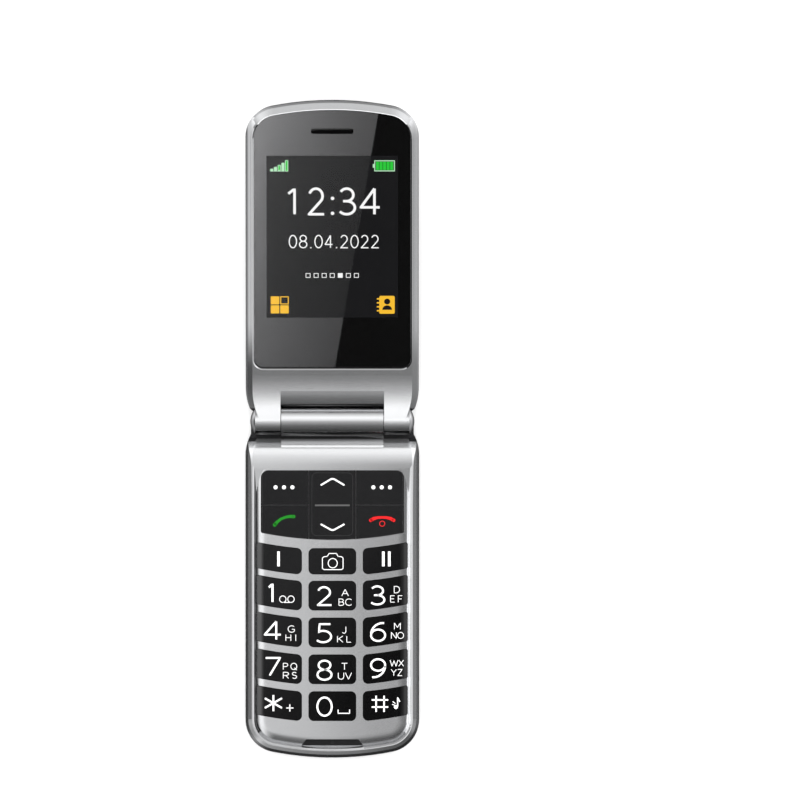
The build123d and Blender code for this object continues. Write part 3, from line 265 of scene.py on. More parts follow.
def bareMetal(name, tone, roughness, grain=0.00008, stretch=(1, 1, 1)):
    made, t = material(name)
    where = t.add("ShaderNodeMapping", inputs={"Vector": t.place(), "Scale": stretch})
    lines = t.noise(1 / grain, 3.0, where=where)
    stains = t.noise(220, 3.0, seed=6.0)
    t.surface({
        "Base Color": t.mottled(stains, tone, dark=0.9, light=1.06), "Metallic": 1.0,
        "Roughness": roughness - 0.04 + lines * 0.08 + stains * 0.04,
        "Normal": t.bump(lines, 0.3, 0.0000025)})
    return made


def clearGlass(name, tone, index):
    made, t = material(name)
    wipe = t.noise(60, 3.0, seed=5.0)
    t.surface({
        "Base Color": t.mixColour(wipe, tone, tinted(tone, 0.985)), "Roughness": wipe.step(0.55, 0.9) * 0.008,
        "IOR": index, "Transmission Weight": 1.0, "Normal": t.flatNormal()})
    return made


def mirrorMask():
    look = dict(tone=(0.1, 0.1, 0.102), roughness=0.004)
    made, t = material("mirrorMask")
    grain = t.noise(900, 2.0)
    t.surface({
        "Base Color": t.mottled(grain, look["tone"], dark=0.97, light=1.03),
        "Metallic": 1.0, "Roughness": look["roughness"] + grain * 0.004, "Normal": t.flatNormal()})
    return made


def paint(name, tone, glow=0.0):
    look = dict(roughness=0.45, grainScale=2600)
    made, t = material(name)
    ink = t.noise(look["grainScale"], 2.0)
    colour = t.mottled(ink, tone, dark=0.95, light=1.0)
    inputs = {"Base Color": colour, "Roughness": look["roughness"] + ink * 0.08,
              "Normal": t.bump(ink, 0.2, 0.000002)}
    # the glow is painted light: it lifts the ink, which gives no light of its own
    if glow:
        inputs.update({"Emission Color": colour, "Emission Strength": glow})
    t.surface(inputs)
    return made


def displayLight(name, tone):
    look = dict(pixel=0.00018, gap=0.16, gapTone=0.82)
    made, t = material(name)
    across, along, _ = t.split(t.place())
    columns = (across / look["pixel"]).math("FRACT").step(0.0, look["gap"])
    rows = (along / (look["pixel"] * math.cos(lidTilt))).math("FRACT").step(0.0, look["gap"])
    t.surface({
        "Base Color": grey(0.006), "Roughness": 0.5, "Specular IOR Level": 0.0,
        "Emission Color": t.mixColour(columns * rows, tinted(tone, look["gapTone"]), tone),
        "Emission Strength": 1.0})
    return made


def circuitBoard():
    look = dict(track=(0.05, 0.24, 0.1), ground=(0.02, 0.13, 0.05), haze=(0.03, 0.18, 0.08), scale=420.0)
    made, t = material("circuitBoard")
    tracks = t.add("ShaderNodeTexVoronoi", dict(feature="DISTANCE_TO_EDGE", distance="MANHATTAN"), {
        "Vector": t.place(), "Scale": look["scale"]})
    lines = tracks.step(0.02, 0.06)
    haze = t.noise(300, 3.0)
    board = t.mixColour(lines, look["track"], look["ground"])
    t.surface({
        "Base Color": t.mixColour(haze * 0.4, board, look["haze"]),
        "Roughness": 0.3 + haze * 0.15, "Normal": t.bump(1 - lines, 0.4, 0.00003)})
    return made


def perforated(name, tone):
    look = dict(pitch=0.00042)
    made, t = material(name)
    ways = t.split(t.place())[:2]
    waves = [(way * (math.pi / look["pitch"])).math("SINE").math("ABSOLUTE") for way in ways]
    # the holes are painted darker, as painted shade inside them
    holes = (waves[0] * waves[1]).step(0.25, 0.7)
    t.surface({
        "Base Color": t.mixColour(holes, tone, tinted(tone, 0.15)), "Metallic": 1.0 - holes * 0.8,
        "Roughness": 0.35 + holes * 0.3, "Normal": t.bump(1 - holes, 0.6, 0.00004)})
    return made


finishes = {
    "silver_shell": silverLacquer(),
    "black_case": mattePlastic("blackCase", (0.012, 0.012, 0.013), 0.42, 0.00035, 0.00002),
    "cover_gloss": glossPlastic("coverGloss", (0.008, 0.008, 0.009), 0.08),
    "key_gloss": glossPlastic("keyGloss", (0.0085, 0.0085, 0.009), 0.2, specular=0.3),
    "side_key": mattePlastic("sideKeyRubber", (0.02, 0.02, 0.021), 0.5, 0.0004, 0.000015),
    "call_red": glossPlastic("callRed", (0.5, 0.015, 0.012), 0.16),
    "lens_glass": clearGlass("lensGlass", (0.99, 0.99, 0.99), 1.25),
    "window_glass": clearGlass("windowGlass", (0.35, 0.35, 0.38), 1.45),
    "lcd": glossPlastic("displayPanel", (0.012, 0.012, 0.014), 0.25),
    "circuit_board": circuitBoard(),
    "steel": bareMetal("plainSteel", (0.58, 0.58, 0.6), 0.3),
    "gold_contact": bareMetal("goldContact", (0.83, 0.6, 0.24), 0.24),
    "chrome_trim": bareMetal("chromeTrim", (0.78, 0.78, 0.8), 0.09, 0.0002),
    "inner_plastic": mattePlastic("innerPlastic", (0.02, 0.02, 0.021), 0.55, 0.0005, 0.00002),
    "flex_film": mattePlastic("flexFilm", (0.42, 0.17, 0.03), 0.35, 0.001, 0.00001),
    "battery_can": bareMetal("batteryFoil", (0.5, 0.5, 0.52), 0.34, 0.0006, (1, 0.2, 1)),
}
meshSteel = perforated("meshSteel", (0.2, 0.2, 0.21))
meshDark = perforated("meshDark", (0.012, 0.012, 0.013))
# white and green inks with a faint painted glow
whiteInk = paint("whiteInk", (0.85, 0.85, 0.85), glow=0.05)
greenInk = paint("greenInk", (0.004, 0.19, 0.006), glow=0.03)
redInk = paint("redInk", (0.62, 0.003, 0.004))
greyInk = paint("greyInk", (0.075, 0.075, 0.075))
# grey beads along the command keys' edges, a painted highlight
edgeGrey = glossPlastic("edgeGrey", (0.03, 0.03, 0.031), 0.25)
# dark finishes that paint shade into gaps, grooves, recesses and screw sockets
paintedShadeBlack = mattePlastic("paintedShadeBlack", (0.008, 0.008, 0.0085), 0.5, 0.0004, 0.00001)
shadeMetal = bareMetal("shadeMetal", (0.055, 0.055, 0.056), 0.3)
grooveShadeMetal = bareMetal("grooveShadeMetal", (0.165, 0.165, 0.167), 0.3)
mask = mirrorMask()
screenDark = displayLight("screenDark", (0.0105, 0.0105, 0.0115))
screenWhite = displayLight("screenWhite", (1, 1, 1))
screenGreen = displayLight("screenGreen", (0.03, 0.62, 0.05))
screenPale = displayLight("screenPale", (0.5, 0.85, 0.55))
screenAmber = displayLight("screenAmber", (1.0, 0.56, 0.04))

for thing in nodes.values():
    for slot in thing.material_slots:
        slotName = slot.material.name.split(".")[0]
        if slotName in finishes:
            slot.material = finishes[slotName]
pad = shadedPadGloss()
for name, thing in nodes.items():
    if name.startswith("key_"):
        thing.material_slots[0].material = pad
nodes["speaker_mesh"].material_slots[0].material = meshSteel
nodes["earpiece_mesh"].material_slots[0].material = meshDark
print("finishes given")


# meshes taken from the nodes
def within(**ranges):
    # a test for faces: each measure that is named lies between its two values, places in mm
    def wanted(spot, normal):
        measures = dict(
            x=spot.x, side=abs(spot.x), y=spot.y, run=hingeY - spot.y, z=spot.z,
            right=normal.x, lean=abs(normal.x), back=normal.y, up=normal.z, outward=spot.x * normal.x,
            offLid=normal.dot(lidNormal), alongLid=normal.dot(lidAlong))
        return all(low < measures[name] < high for name, (low, high) in ranges.items())

    return wanted


def copyOf(node, wanted=None):
    # a merged copy of a node's mesh, with the wanted faces only
    build = bmesh.new()
    build.from_mesh(nodes[node].data)
    bmesh.ops.remove_doubles(build, verts=build.verts, dist=tiny)
    build.normal_update()
    if wanted:
        extra = [f for f in build.faces if not wanted(f.calc_center_median() / mm, f.normal)]
        bmesh.ops.delete(build, geom=extra, context="FACES")
    return build


def thicken(build, shift):
    # a second skin on the first, each corner moved by its shift
    skin = bmesh.ops.extrude_face_region(build, geom=build.faces[:])
    for v in skin["geom"]:
        if isinstance(v, bmesh.types.BMVert):
            v.co += shift(v)


def pieceOf(name, build, coats):
    bmesh.ops.recalc_face_normals(build, faces=build.faces)
    mesh = bpy.data.meshes.new(name)
    build.to_mesh(mesh)
    build.free()
    for coat in coats:
        mesh.materials.append(coat)
    return linked(name, mesh)


# signs are strokes in a square of side 1, drawn with a pen of one width
mitreLimit = 0.45  # cosine of half a corner's turn, below which its mitre grows no longer


def arc(cx, cy, rx, ry, start, end):
    count = max(6, int(abs(end - start) / 10))
    turns = [math.radians(start + (end - start) * i / count) for i in range(count + 1)]
    return [(cx + rx * math.cos(a), cy + ry * math.sin(a)) for a in turns]


def halfTurn(strokes):
    return [[(1 - x, 1 - y) for x, y in stroke] for stroke in strokes]


sixStrokes = [[(0.92, 0.985)] + arc(0.84, 0.36, 0.84, 0.63, 93, 180), arc(0.5, 0.315, 0.5, 0.315, 0, 360)]
signs = {
    "0": [arc(0.5, 0.5, 0.5, 0.5, 90, 450)],
    "1": [[(0.0, 0.8), (0.66, 0.97)], [(0.74, 0), (0.74, 1)]],
    "2": [arc(0.47, 0.71, 0.43, 0.29, 160, -38) + [(0.02, 0), (1, 0)]],
    "3": [arc(0.43, 0.755, 0.43, 0.245, 150, -90), arc(0.43, 0.255, 0.53, 0.255, 90, -145),
          [(0.2, 0.51), (0.46, 0.51)]],
    "4": [[(0.72, 1), (0.0, 0.27), (1, 0.27)], [(0.72, 0), (0.72, 1)]],
    "5": [[(0.92, 1), (0.14, 1), (0.1, 0.56)] + arc(0.4, 0.315, 0.58, 0.315, 112, -140)],
    "6": sixStrokes,
    "7": [[(0, 1), (1, 1), (0.28, 0)]],
    "8": [arc(0.5, 0.765, 0.42, 0.235, 90, 450), arc(0.5, 0.265, 0.5, 0.265, 90, 450)],
    "9": halfTurn(sixStrokes),
    "*": [[(0.5, 0), (0.5, 1)], [(0, 0.2), (1, 0.8)], [(0, 0.8), (1, 0.2)]],
    "#": [[(0, 0.3), (1, 0.3)], [(0, 0.74), (1, 0.74)], [(0.27, 0), (0.27, 1)], [(0.75, 0), (0.75, 1)]],
    "+": [[(0, 0.5), (1, 0.5)], [(0.5, 0), (0.5, 1)]],
    "A": [[(0, 0), (0.5, 1), (1, 0)], [(0.2, 0.36), (0.8, 0.36)]],
    "B": [[(0, 0), (0, 1)] + arc(0.45, 0.76, 0.45, 0.24, 90, -90) + [(0, 0.52)],
          arc(0.5, 0.26, 0.5, 0.26, 90, -90) + [(0, 0)]],
    "C": [arc(0.56, 0.5, 0.56, 0.5, 45, 315)],
    "D": [[(0, 0), (0, 1)] + arc(0.4, 0.5, 0.6, 0.5, 90, -90) + [(0, 0)]],
    "E": [[(1, 1), (0, 1), (0, 0), (1, 0)], [(0, 0.52), (0.85, 0.52)]],
    "F": [[(1, 1), (0, 1), (0, 0)], [(0, 0.5), (0.85, 0.5)]],
    "G": [arc(0.55, 0.5, 0.55, 0.5, 50, 322) + [(1, 0.46), (0.6, 0.46)]],
    "H": [[(0, 0), (0, 1)], [(1, 0), (1, 1)], [(0, 0.52), (1, 0.52)]],
    "I": [[(0.5, 0), (0.5, 1)]],
    "J": [[(1, 1), (1, 0.28)] + arc(0.5, 0.28, 0.5, 0.28, 0, -150)],
    "K": [[(0, 0), (0, 1)], [(1, 1), (0, 0.42)], [(0.28, 0.58), (1, 0)]],
    "L": [[(0, 1), (0, 0), (1, 0)]],
    "M": [[(0, 0), (0, 1), (0.5, 0.3), (1, 1), (1, 0)]],
    "N": [[(0, 0), (0, 1), (1, 0), (1, 1)]],
    "O": [arc(0.5, 0.5, 0.5, 0.5, 90, 450)],
    "P": [[(0, 0), (0, 1)] + arc(0.5, 0.74, 0.5, 0.26, 90, -90) + [(0, 0.48)]],
    "Q": [arc(0.5, 0.5, 0.5, 0.5, 90, 450), [(0.58, 0.28), (1, -0.06)]],
    "R": [[(0, 0), (0, 1)] + arc(0.5, 0.74, 0.5, 0.26, 90, -90) + [(0, 0.48)], [(0.45, 0.48), (1, 0)]],
    "S": [arc(0.5, 0.755, 0.47, 0.245, 35, 270) + arc(0.5, 0.255, 0.5, 0.255, 90, -145)[1:]],
    "T": [[(0, 1), (1, 1)], [(0.5, 1), (0.5, 0)]],
    "U": [[(0, 1), (0, 0.38)] + arc(0.5, 0.38, 0.5, 0.38, 180, 360) + [(1, 1)]],
    "V": [[(0, 1), (0.5, 0), (1, 1)]],
    "W": [[(0, 1), (0.25, 0), (0.5, 0.9), (0.75, 0), (1, 1)]],
    "X": [[(0, 0), (1, 1)], [(0, 1), (1, 0)]],
    "Y": [[(0, 1), (0.5, 0.48), (1, 1)], [(0.5, 0.48), (0.5, 0)]],
    "Z": [[(0, 1), (1, 1), (0, 0), (1, 0)]],
    "voicemail": [arc(0.22, 0.5, 0.22, 0.5, -90, 270), arc(0.78, 0.5, 0.22, 0.5, -90, 270),
                  [(0.22, 0), (0.78, 0)]],
    "space": [[(0, 1), (0, 0), (1, 0), (1, 1)]],
    "camera": [[(0.08, 0), (0.92, 0), (1, 0.07), (1, 0.72), (0.92, 0.8), (0.76, 0.82), (0.68, 1), (0.32, 1),
                (0.24, 0.82), (0.08, 0.8), (0, 0.72), (0, 0.07), (0.08, 0)],
               arc(0.5, 0.4, 0.22, 0.29, 0, 360)],
    "up": [[(0, 0), (0.42, 0.92), (0.5, 1), (0.58, 0.92), (1, 0)]],
    "down": [[(0, 1), (0.42, 0.08), (0.5, 0), (0.58, 0.08), (1, 1)]],
}


def apart(a, b):
    return (Vector(a) - Vector(b)).length > tiny


def smoothRuns(points, sharp=50):
    # cuts a stroke at its sharp corners
    runs = [[points[0]]]
    for i in range(1, len(points)):
        runs[-1].append(points[i])
        if i < len(points) - 1 and apart(points[i], points[i - 1]) and apart(points[i + 1], points[i]):
            into = Vector(points[i]) - Vector(points[i - 1])
            away = Vector(points[i + 1]) - Vector(points[i])
            if into.angle(away) > math.radians(sharp):
                runs.append([points[i]])
    return runs


def denser(points, fine):
    dense = [points[0]]
    for a, b in zip(points, points[1:]):
        count = max(1, math.ceil((Vector(b) - Vector(a)).length / fine))
        dense += [tuple(Vector(a).lerp(Vector(b), k / count)) for k in range(1, count + 1)]
    return dense


def stripOf(points, pens, fine=None):
    # faces along a stroke: one pen width for all of it, or one for each point
    onePen = not hasattr(pens, "__len__")
    runs = smoothRuns(points) if onePen else [points]
    if len(runs) > 1:
        corners = [run[0] for run in runs[1:]]
        if not apart(points[0], points[-1]):
            corners.append(points[0])
        faces = [f for run in runs for f in stripOf(run, pens, fine)]
        return faces + [f for c in corners for f in discOf(*c, pens / 2, steps=12)]
    if fine:
        points = denser(points, fine)
    closed = not apart(points[0], points[-1]) and len(points) > 3
    flat = [Vector(p) for p in (points[:-1] if closed else points)]
    pens = [pens] * len(flat) if onePen else pens
    sides = []
    for i, here in enumerate(flat):
        before = flat[i - 1] if i or closed else None
        after = flat[(i + 1) % len(flat)] if i < len(flat) - 1 or closed else None
        ways = [(b - a).normalized() for a, b in ((before, here), (here, after))
                if a is not None and b is not None]
        normals = [Vector((-w.y, w.x)) for w in ways]
        middle = sum(normals, Vector((0, 0))).normalized()
        stretch = 1 / max(mitreLimit, middle.dot(normals[0]))
        sides.append((here + middle * pens[i] / 2 * stretch, here - middle * pens[i] / 2 * stretch))
    count = len(sides)
    quads = []
    for i in range(count if closed else count - 1):
        (a, b), (c, d) = sides[i], sides[(i + 1) % count]
        quads.append([a, b, d, c])
    return quads


def discOf(x, y, radius, steps=20):
    turns = [math.tau * i / steps for i in range(steps)]
    return [[Vector((x + radius * math.cos(a), y + radius * math.sin(a))) for a in turns]]


def signOf(name, left, right, top, bottom, pen, fine=0.35):
    # the sign fills its box to the outer side of the pen, with its top towards the given top
    edge = math.copysign(pen, top - bottom)
    faces = []
    for stroke in signs[name]:
        inner = [(left + pen / 2 + x * (right - left - pen), bottom + edge / 2 + y * (top - bottom - edge))
                 for x, y in stroke]
        faces += stripOf(inner, pen, fine)
    return faces


def printed(name, parts, body, place, up):
    # parts are pairs of faces and their ink
    look = dict(proud=0.03, sunk=0.02)  # the ink stands over its ground and reaches into it
    build = bmesh.new()
    for index, (faces, _) in enumerate(parts):
        for face in faces:
            spots = [place(v.x, v.y) for v in face]
            tops = [build.verts.new(s + up * (look["proud"] * mm)) for s in spots]
            feet = [build.verts.new(s - up * (look["sunk"] * mm)) for s in spots]
            made = [build.faces.new(tops), build.faces.new(feet[::-1])]
            for i in range(len(face)):
                j = (i + 1) % len(face)
                made.append(build.faces.new((tops[j], tops[i], feet[i], feet[j])))
            for m in made:
                m.material_index = index
    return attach(pieceOf(name, build, [ink for _, ink in parts]), body)


# what each key bears: the sign, its left, right, top and bottom in mm, the last two
# measured away from the hinge, and the pen
digitPen, letterPen = 0.57, 0.185
keyPrint = {
    "key_1": [("1", -20.0, -17.9, 50.1, 56.4, 0.64), ("voicemail", -16.5, -11.75, 54.1, 56.35, 0.21)],
    "key_2": [("2", -4.9, 0.0, 51.2, 57.35, digitPen), ("A", 2.85, 5.1, 52.1, 54.3, letterPen),
              ("B", 1.95, 3.65, 55.05, 57.25, letterPen), ("C", 4.0, 6.15, 55.05, 57.25, letterPen)],
    "key_3": [("3", 11.85, 16.65, 50.95, 57.15, digitPen), ("D", 19.15, 21.0, 51.15, 53.35, letterPen),
              ("E", 18.0, 19.45, 54.05, 56.25, letterPen), ("F", 20.4, 21.85, 54.05, 56.25, letterPen)],
    "key_4": [("4", -21.3, -15.75, 61.85, 68.05, digitPen), ("G", -13.85, -11.65, 63.4, 65.6, letterPen),
              ("H", -14.55, -12.8, 66.15, 68.3, letterPen), ("I", -11.75, -11.0, 66.15, 68.3, letterPen)],
    "key_5": [("5", -4.85, 0.0, 62.7, 68.9, digitPen), ("J", 3.0, 4.3, 63.7, 65.9, letterPen),
              ("K", 1.5, 3.35, 66.6, 68.7, letterPen), ("L", 4.4, 5.9, 66.6, 68.7, letterPen)],
    "key_6": [("6", 11.75, 16.7, 62.3, 68.5, digitPen), ("M", 19.2, 21.25, 62.55, 64.7, letterPen),
              ("N", 18.25, 20.0, 65.45, 67.55, letterPen), ("O", 20.2, 22.25, 65.45, 67.55, letterPen)],
    "key_7": [("7", -21.0, -15.95, 73.2, 79.2, digitPen), ("P", -15.35, -13.75, 75.05, 77.2, letterPen),
              ("Q", -13.0, -10.95, 75.05, 77.2, letterPen), ("R", -15.35, -13.5, 77.85, 79.95, letterPen),
              ("S", -12.55, -11.0, 77.85, 79.95, letterPen)],
    "key_8": [("8", -4.9, 0.05, 74.05, 80.55, digitPen), ("T", 2.8, 4.75, 75.05, 77.2, letterPen),
              ("U", 1.75, 3.65, 78.0, 80.2, letterPen), ("V", 3.95, 6.1, 78.0, 80.2, letterPen)],
    "key_9": [("9", 11.75, 16.7, 73.6, 79.85, digitPen), ("W", 17.85, 20.5, 74.05, 76.15, letterPen),
              ("X", 20.55, 22.25, 74.05, 76.15, letterPen), ("Y", 18.2, 20.0, 76.95, 79.1, letterPen),
              ("Z", 20.25, 21.8, 76.95, 79.1, letterPen)],
    "key_star": [("*", -21.25, -15.4, 84.75, 90.3, 0.55), ("+", -14.45, -11.95, 87.8, 90.3, 0.28)],
    "key_0": [("0", -4.95, 0.1, 85.5, 91.75, digitPen), ("space", 1.65, 5.5, 89.4, 90.85, 0.28)],
    "key_hash": [("#", 12.0, 17.6, 85.0, 90.5, 0.47)],
    "key_one_touch": [("I", -17.15, -16.3, 40.0, 45.4, 0.8)],
    "key_two_touch": [("I", 15.45, 16.25, 40.0, 45.4, 0.8), ("I", 17.3, 18.1, 40.0, 45.4, 0.8)],
    "key_camera": [("camera", -3.2, 3.45, 40.9, 46.15, 0.23)],
}


def printOn(key, *parts):
    look = dict(above=30, top=11.05)  # the ray starts above, and the top stands in where it misses
    mesh = nodes[key].data
    tree = BVHTree.FromPolygons([v.co[:] for v in mesh.vertices], [p.vertices[:] for p in mesh.polygons])

    def place(x, run):
        hit = tree.ray_cast(onBase(x, run, look["above"]), Vector((0, 0, -1)))[0]
        return hit if hit else onBase(x, run, look["top"])

    printed("print_" + key, parts, key, place, Vector((0, 0, 1)))


def noteFaces():
    look = dict(stem=((20.3, 88.6), (20.3, 85.9), (21.0, 87.1)), pen=0.36, head=(19.75, 88.75, 0.62),
                waves=((((18.75, 87.0), (19.6, 87.7)), 0.26), (((18.6, 87.9), (19.4, 88.2)), 0.24)))
    faces = stripOf(look["stem"], look["pen"]) + discOf(*look["head"])
    return faces + [f for points, pen in look["waves"] for f in stripOf(points, pen)]


def handset(points, pens):
    return stripOf(points, pens) + discOf(*points[0], pens[0] / 2) + discOf(*points[-1], pens[-1] / 2)


def printKeys():
    look = dict(
        dotRadius=0.62, dotRun=20.45,
        dots=dict(soft_key_left=(-17.65, -15.03, -12.42), soft_key_right=(12.76, 15.35, 17.93)),
        arrows=(("up", 17.55, 20.05), ("down", 31.65, 34.0)), arrowSides=(-3.85, 4.0), arrowPen=0.5,
        bar=((-5.4, 26.05), (5.4, 26.05)), barPen=0.55,
        green=((-17.9, 32.1), (-17.1, 31.2), (-16.0, 30.3), (-14.6, 29.75), (-13.2, 29.5), (-12.0, 29.55)),
        greenPens=(1.15, 0.9, 0.8, 0.8, 0.9, 1.05),
        red=((11.95, 30.7), (12.9, 30.15), (14.2, 29.85), (15.5, 29.8), (16.8, 29.85), (18.1, 30.15),
             (19.05, 30.7)),
        redPens=(1.1, 1.0, 0.8, 0.75, 0.8, 1.0, 1.1), ring=(15.5, 31.75, 0.8, 0.8, 0, 360), ringPen=0.22)
    for key, entries in keyPrint.items():
        faces = [f for sign in entries for f in signOf(*sign)]
        printOn(key, (faces + noteFaces() if key == "key_hash" else faces, whiteInk))
    for key, spots in look["dots"].items():
        printOn(key, ([f for x in spots for f in discOf(x, look["dotRun"], look["dotRadius"])], whiteInk))
    arrows = [f for name, top, bottom in look["arrows"]
              for f in signOf(name, *look["arrowSides"], top, bottom, look["arrowPen"])]
    printOn("nav_key", (arrows, whiteInk), (stripOf(look["bar"], look["barPen"]), greyInk))
    printOn("call_key", (handset(look["green"], look["greenPens"]), greenInk))
    ring = stripOf(arc(*look["ring"]), look["ringPen"])
    printOn("end_key", (handset(look["red"], look["redPens"]) + ring, redInk))


printKeys()
print("keys printed")


# display: x across and run along the lid, in mm
window = dict(half=20.4, near=33.65, far=86.7)  # the lens is clear over this part of the lid


def rect(left, right, near, end):
    return [[Vector((left, near)), Vector((right, near)), Vector((right, end)), Vector((left, end))]]


def frameOf(left, right, near, end, pen):
    return stripOf([(left, near), (right, near), (right, end), (left, end), (left, near)], pen)


def roundedRect(left, right, near, end, radius):
    corners = ((right - radius, end - radius, 0), (left + radius, end - radius, 90),
               (left + radius, near + radius, 180), (right - radius, near + radius, 270))
    return [[Vector(p) for cx, cy, start in corners for p in arc(cx, cy, radius, radius, start, start + 90)]]


def clockFaces():
    look = dict(near=67.1, far=76.3, pen=0.82, dot=0.68, colon=((0.1, 67.8), (0.1, 72.7)),
                places=(("1", -14.0, -10.6), ("2", -7.7, -2.1), ("3", 2.0, 7.65), ("4", 8.5, 15.15)))
    faces = [f for digit, left, right in look["places"]
             for f in signOf(digit, left, right, look["far"], look["near"], look["pen"], None)]
    return faces + [f for x, y in look["colon"] for f in discOf(x, y, look["pen"] * look["dot"])]


def dateFaces():
    look = dict(text="08.04.2022", left=-13.8, right=14.9, near=56.35, far=60.75, pen=0.35,
                dot=0.62, dotHeight=0.6, gap=0.09)
    widths = [0.5 if c == "." else 1.0 for c in look["text"]]
    scale = (look["right"] - look["left"]) / sum(widths)
    faces, x = [], look["left"]
    for c, width in zip(look["text"], widths):
        step = width * scale
        gap = step * look["gap"]
        if c == ".":
            height = look["near"] + look["pen"] * look["dotHeight"]
            faces += discOf(x + step / 2, height, look["pen"] * look["dot"])
        else:
            faces += signOf(c, x + gap, x + step - gap, look["far"], look["near"], look["pen"], None)
        x += step
    return faces


def weekFaces():
    # a square for each day, today's is filled
    look = dict(size=1.5, pitch=2.5, near=46.7, today=4, inset=0.1, pen=0.2)
    faces = []
    for day in range(7):
        left, near = (day - 3) * look["pitch"] - look["size"] / 2, look["near"]
        inset = 0 if day == look["today"] else look["inset"]
        reach = look["size"] - inset
        box = (left + inset, left + reach, near + inset, near + reach)
        faces += frameOf(*box, look["pen"]) if inset else rect(*box)
    return faces


def signalFaces():
    # pale bars and the green ones on them
    look = dict(left=-19.2, pitch=1.15, width=0.97, near=81.5, steps=(0.9, 1.5, 2.15, 2.85, 3.7), inset=0.22,
                endInset=0.2)
    pale, green = [], []
    for i, height in enumerate(look["steps"]):
        x, near = look["left"] + i * look["pitch"], look["near"]
        pale += rect(x, x + look["width"], near, near + height)
        green += rect(x + look["inset"], x + look["width"] - look["inset"],
                      near + look["endInset"], near + height - look["endInset"])
    return pale, green


def batteryFaces():
    # the pale outline with its knob and the green cells in it
    look = dict(left=13.2, right=19.3, near=81.7, far=85.0, cells=5, inset=0.3, knob=0.6, gap=0.08)
    left, right, near, end = look["left"], look["right"], look["near"], look["far"]
    middle = (near + end) / 2
    pale = frameOf(left, right, near, end, look["inset"])
    pale += rect(left - look["knob"], left, middle - look["knob"], middle + look["knob"])
    span = (right - left - look["inset"] * 2) / look["cells"]
    starts = [left + look["inset"] + i * span for i in range(look["cells"])]
    return pale, [f for x in starts for f in rect(
        x + look["gap"], x + span - look["gap"], near + look["inset"], end - look["inset"])]


def menuFaces():
    # four tiles, of which one is an outline, and a book with four tabs
    tile = dict(size=2.65, left=-19.1, near=35.0, gap=0.3, inset=0.15, pen=0.3, radius=0.25)
    book = dict(left=14.6, right=19.4, near=34.9, far=40.75, radius=0.5)
    tab = dict(count=4, start=0.75, pitch=1.3, length=0.75, width=0.45, overlap=0.1)
    faces = []
    for i, j in ((0, 0), (0, 1), (1, 0), (1, 1)):
        x, y = (tile[edge] + k * (tile["size"] + tile["gap"]) for edge, k in (("left", i), ("near", j)))
        if i and j:
            low, high = tile["inset"], tile["size"] - tile["inset"]
            faces += frameOf(x + low, x + high, y + low, y + high, tile["pen"])
        else:
            faces += roundedRect(x, x + tile["size"], y, y + tile["size"], tile["radius"])
    faces += roundedRect(*book.values())
    for i in range(tab["count"]):
        y = book["near"] + tab["start"] + i * tab["pitch"]
        faces += rect(book["left"] - tab["length"], book["left"] + tab["overlap"], y, y + tab["width"])
    return faces


def figureFaces():
    # the head and shoulders on the book
    look = dict(head=(17.05, 38.9, 0.95), left=15.55, right=18.55, near=36.2, shoulders=1.45)
    middle, half = (look["left"] + look["right"]) / 2, (look["right"] - look["left"]) / 2
    bow = [Vector(p) for p in arc(middle, look["near"], half, look["shoulders"], 0, 180)][1:-1]
    body = [Vector((look["left"], look["near"])), Vector((look["right"], look["near"]))] + bow
    return discOf(*look["head"]) + [body]


def lidPrint(name, height, *parts):
    def place(x, run):
        return onLid(x, run, height)

    printed(name, parts, "lid", place, lidNormal)


def screenPiece():
    look = dict(panel=9.56, picture=0.05, figure=0.085)  # the panel's height, and what lies on it
    pale, green = signalFaces()
    palePower, greenPower = batteryFaces()
    panel = rect(-window["half"], window["half"], window["near"], window["far"])
    lidPrint("screen_panel", look["panel"], (panel, screenDark))
    lidPrint("screen_picture", look["panel"] + look["picture"],
             (clockFaces() + dateFaces() + weekFaces(), screenWhite), (green + greenPower, screenGreen),
             (pale + palePower, screenPale), (menuFaces(), screenAmber))
    lidPrint("screen_contact_figure", look["panel"] + look["figure"], (figureFaces(), screenDark))


screenPiece()
print("display lit")


# the dark mirror on the back of the lens, open over the display
def lensMask():
    look = dict(lift=0.02, thickness=0.03, flat=0.0001)
    origin = onLid(0, 0, 0)
    build = copyOf("display_lens", within(offLid=(-far, -0.95)))
    floor = min((v.co - origin).dot(lidNormal) for v in build.verts)
    top = floor + look["flat"]
    higher = [f for f in build.faces if (f.calc_center_median() - origin).dot(lidNormal) > top]
    bmesh.ops.delete(build, geom=higher, context="FACES")
    sideways = Vector((1, 0, 0))
    cuts = [(onLid(x, 0, 0), sideways) for x in (-window["half"], window["half"])]
    cuts += [(onLid(0, run, 0), lidAlong) for run in (window["near"], window["far"])]
    for spot, normal in cuts:
        everything = build.verts[:] + build.edges[:] + build.faces[:]
        bmesh.ops.bisect_plane(build, geom=everything, plane_co=spot, plane_no=normal, dist=1e-7)

    def inWindow(face):
        middle = face.calc_center_median()
        run = (middle - origin).dot(lidAlong) / mm
        return abs(middle.x) < window["half"] * mm and window["near"] < run < window["far"]

    bmesh.ops.delete(build, geom=[f for f in build.faces if inWindow(f)], context="FACES")
    bmesh.ops.reverse_faces(build, faces=build.faces)
    for v in build.verts:
        v.co += lidNormal * (look["lift"] * mm)
    thicken(build, lambda v: lidNormal * (look["thickness"] * mm))
    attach(pieceOf("lens_mask", build, [mask]), "lid")


lensMask()
print("lens masked")


# painted shade: dark sheets laid over the deep places between the silver pieces, where shade falls
def shadeSheet(name, node, body, finish, **ranges):
    look = dict(lift=0.02, thickness=0.04)
    build = copyOf(node, within(**ranges))
    build.normal_update()
    for v in build.verts:
        v.co += v.normal * (look["lift"] * mm)
    ways = [(v.co.copy(), v.normal.copy()) for v in build.verts]
    thicken(build, lambda v: min(ways, key=lambda way: (way[0] - v.co).length)[1] * (look["thickness"] * mm))
    print(name, len(build.faces), "faces")
    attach(pieceOf(name, build, [finish]), body)


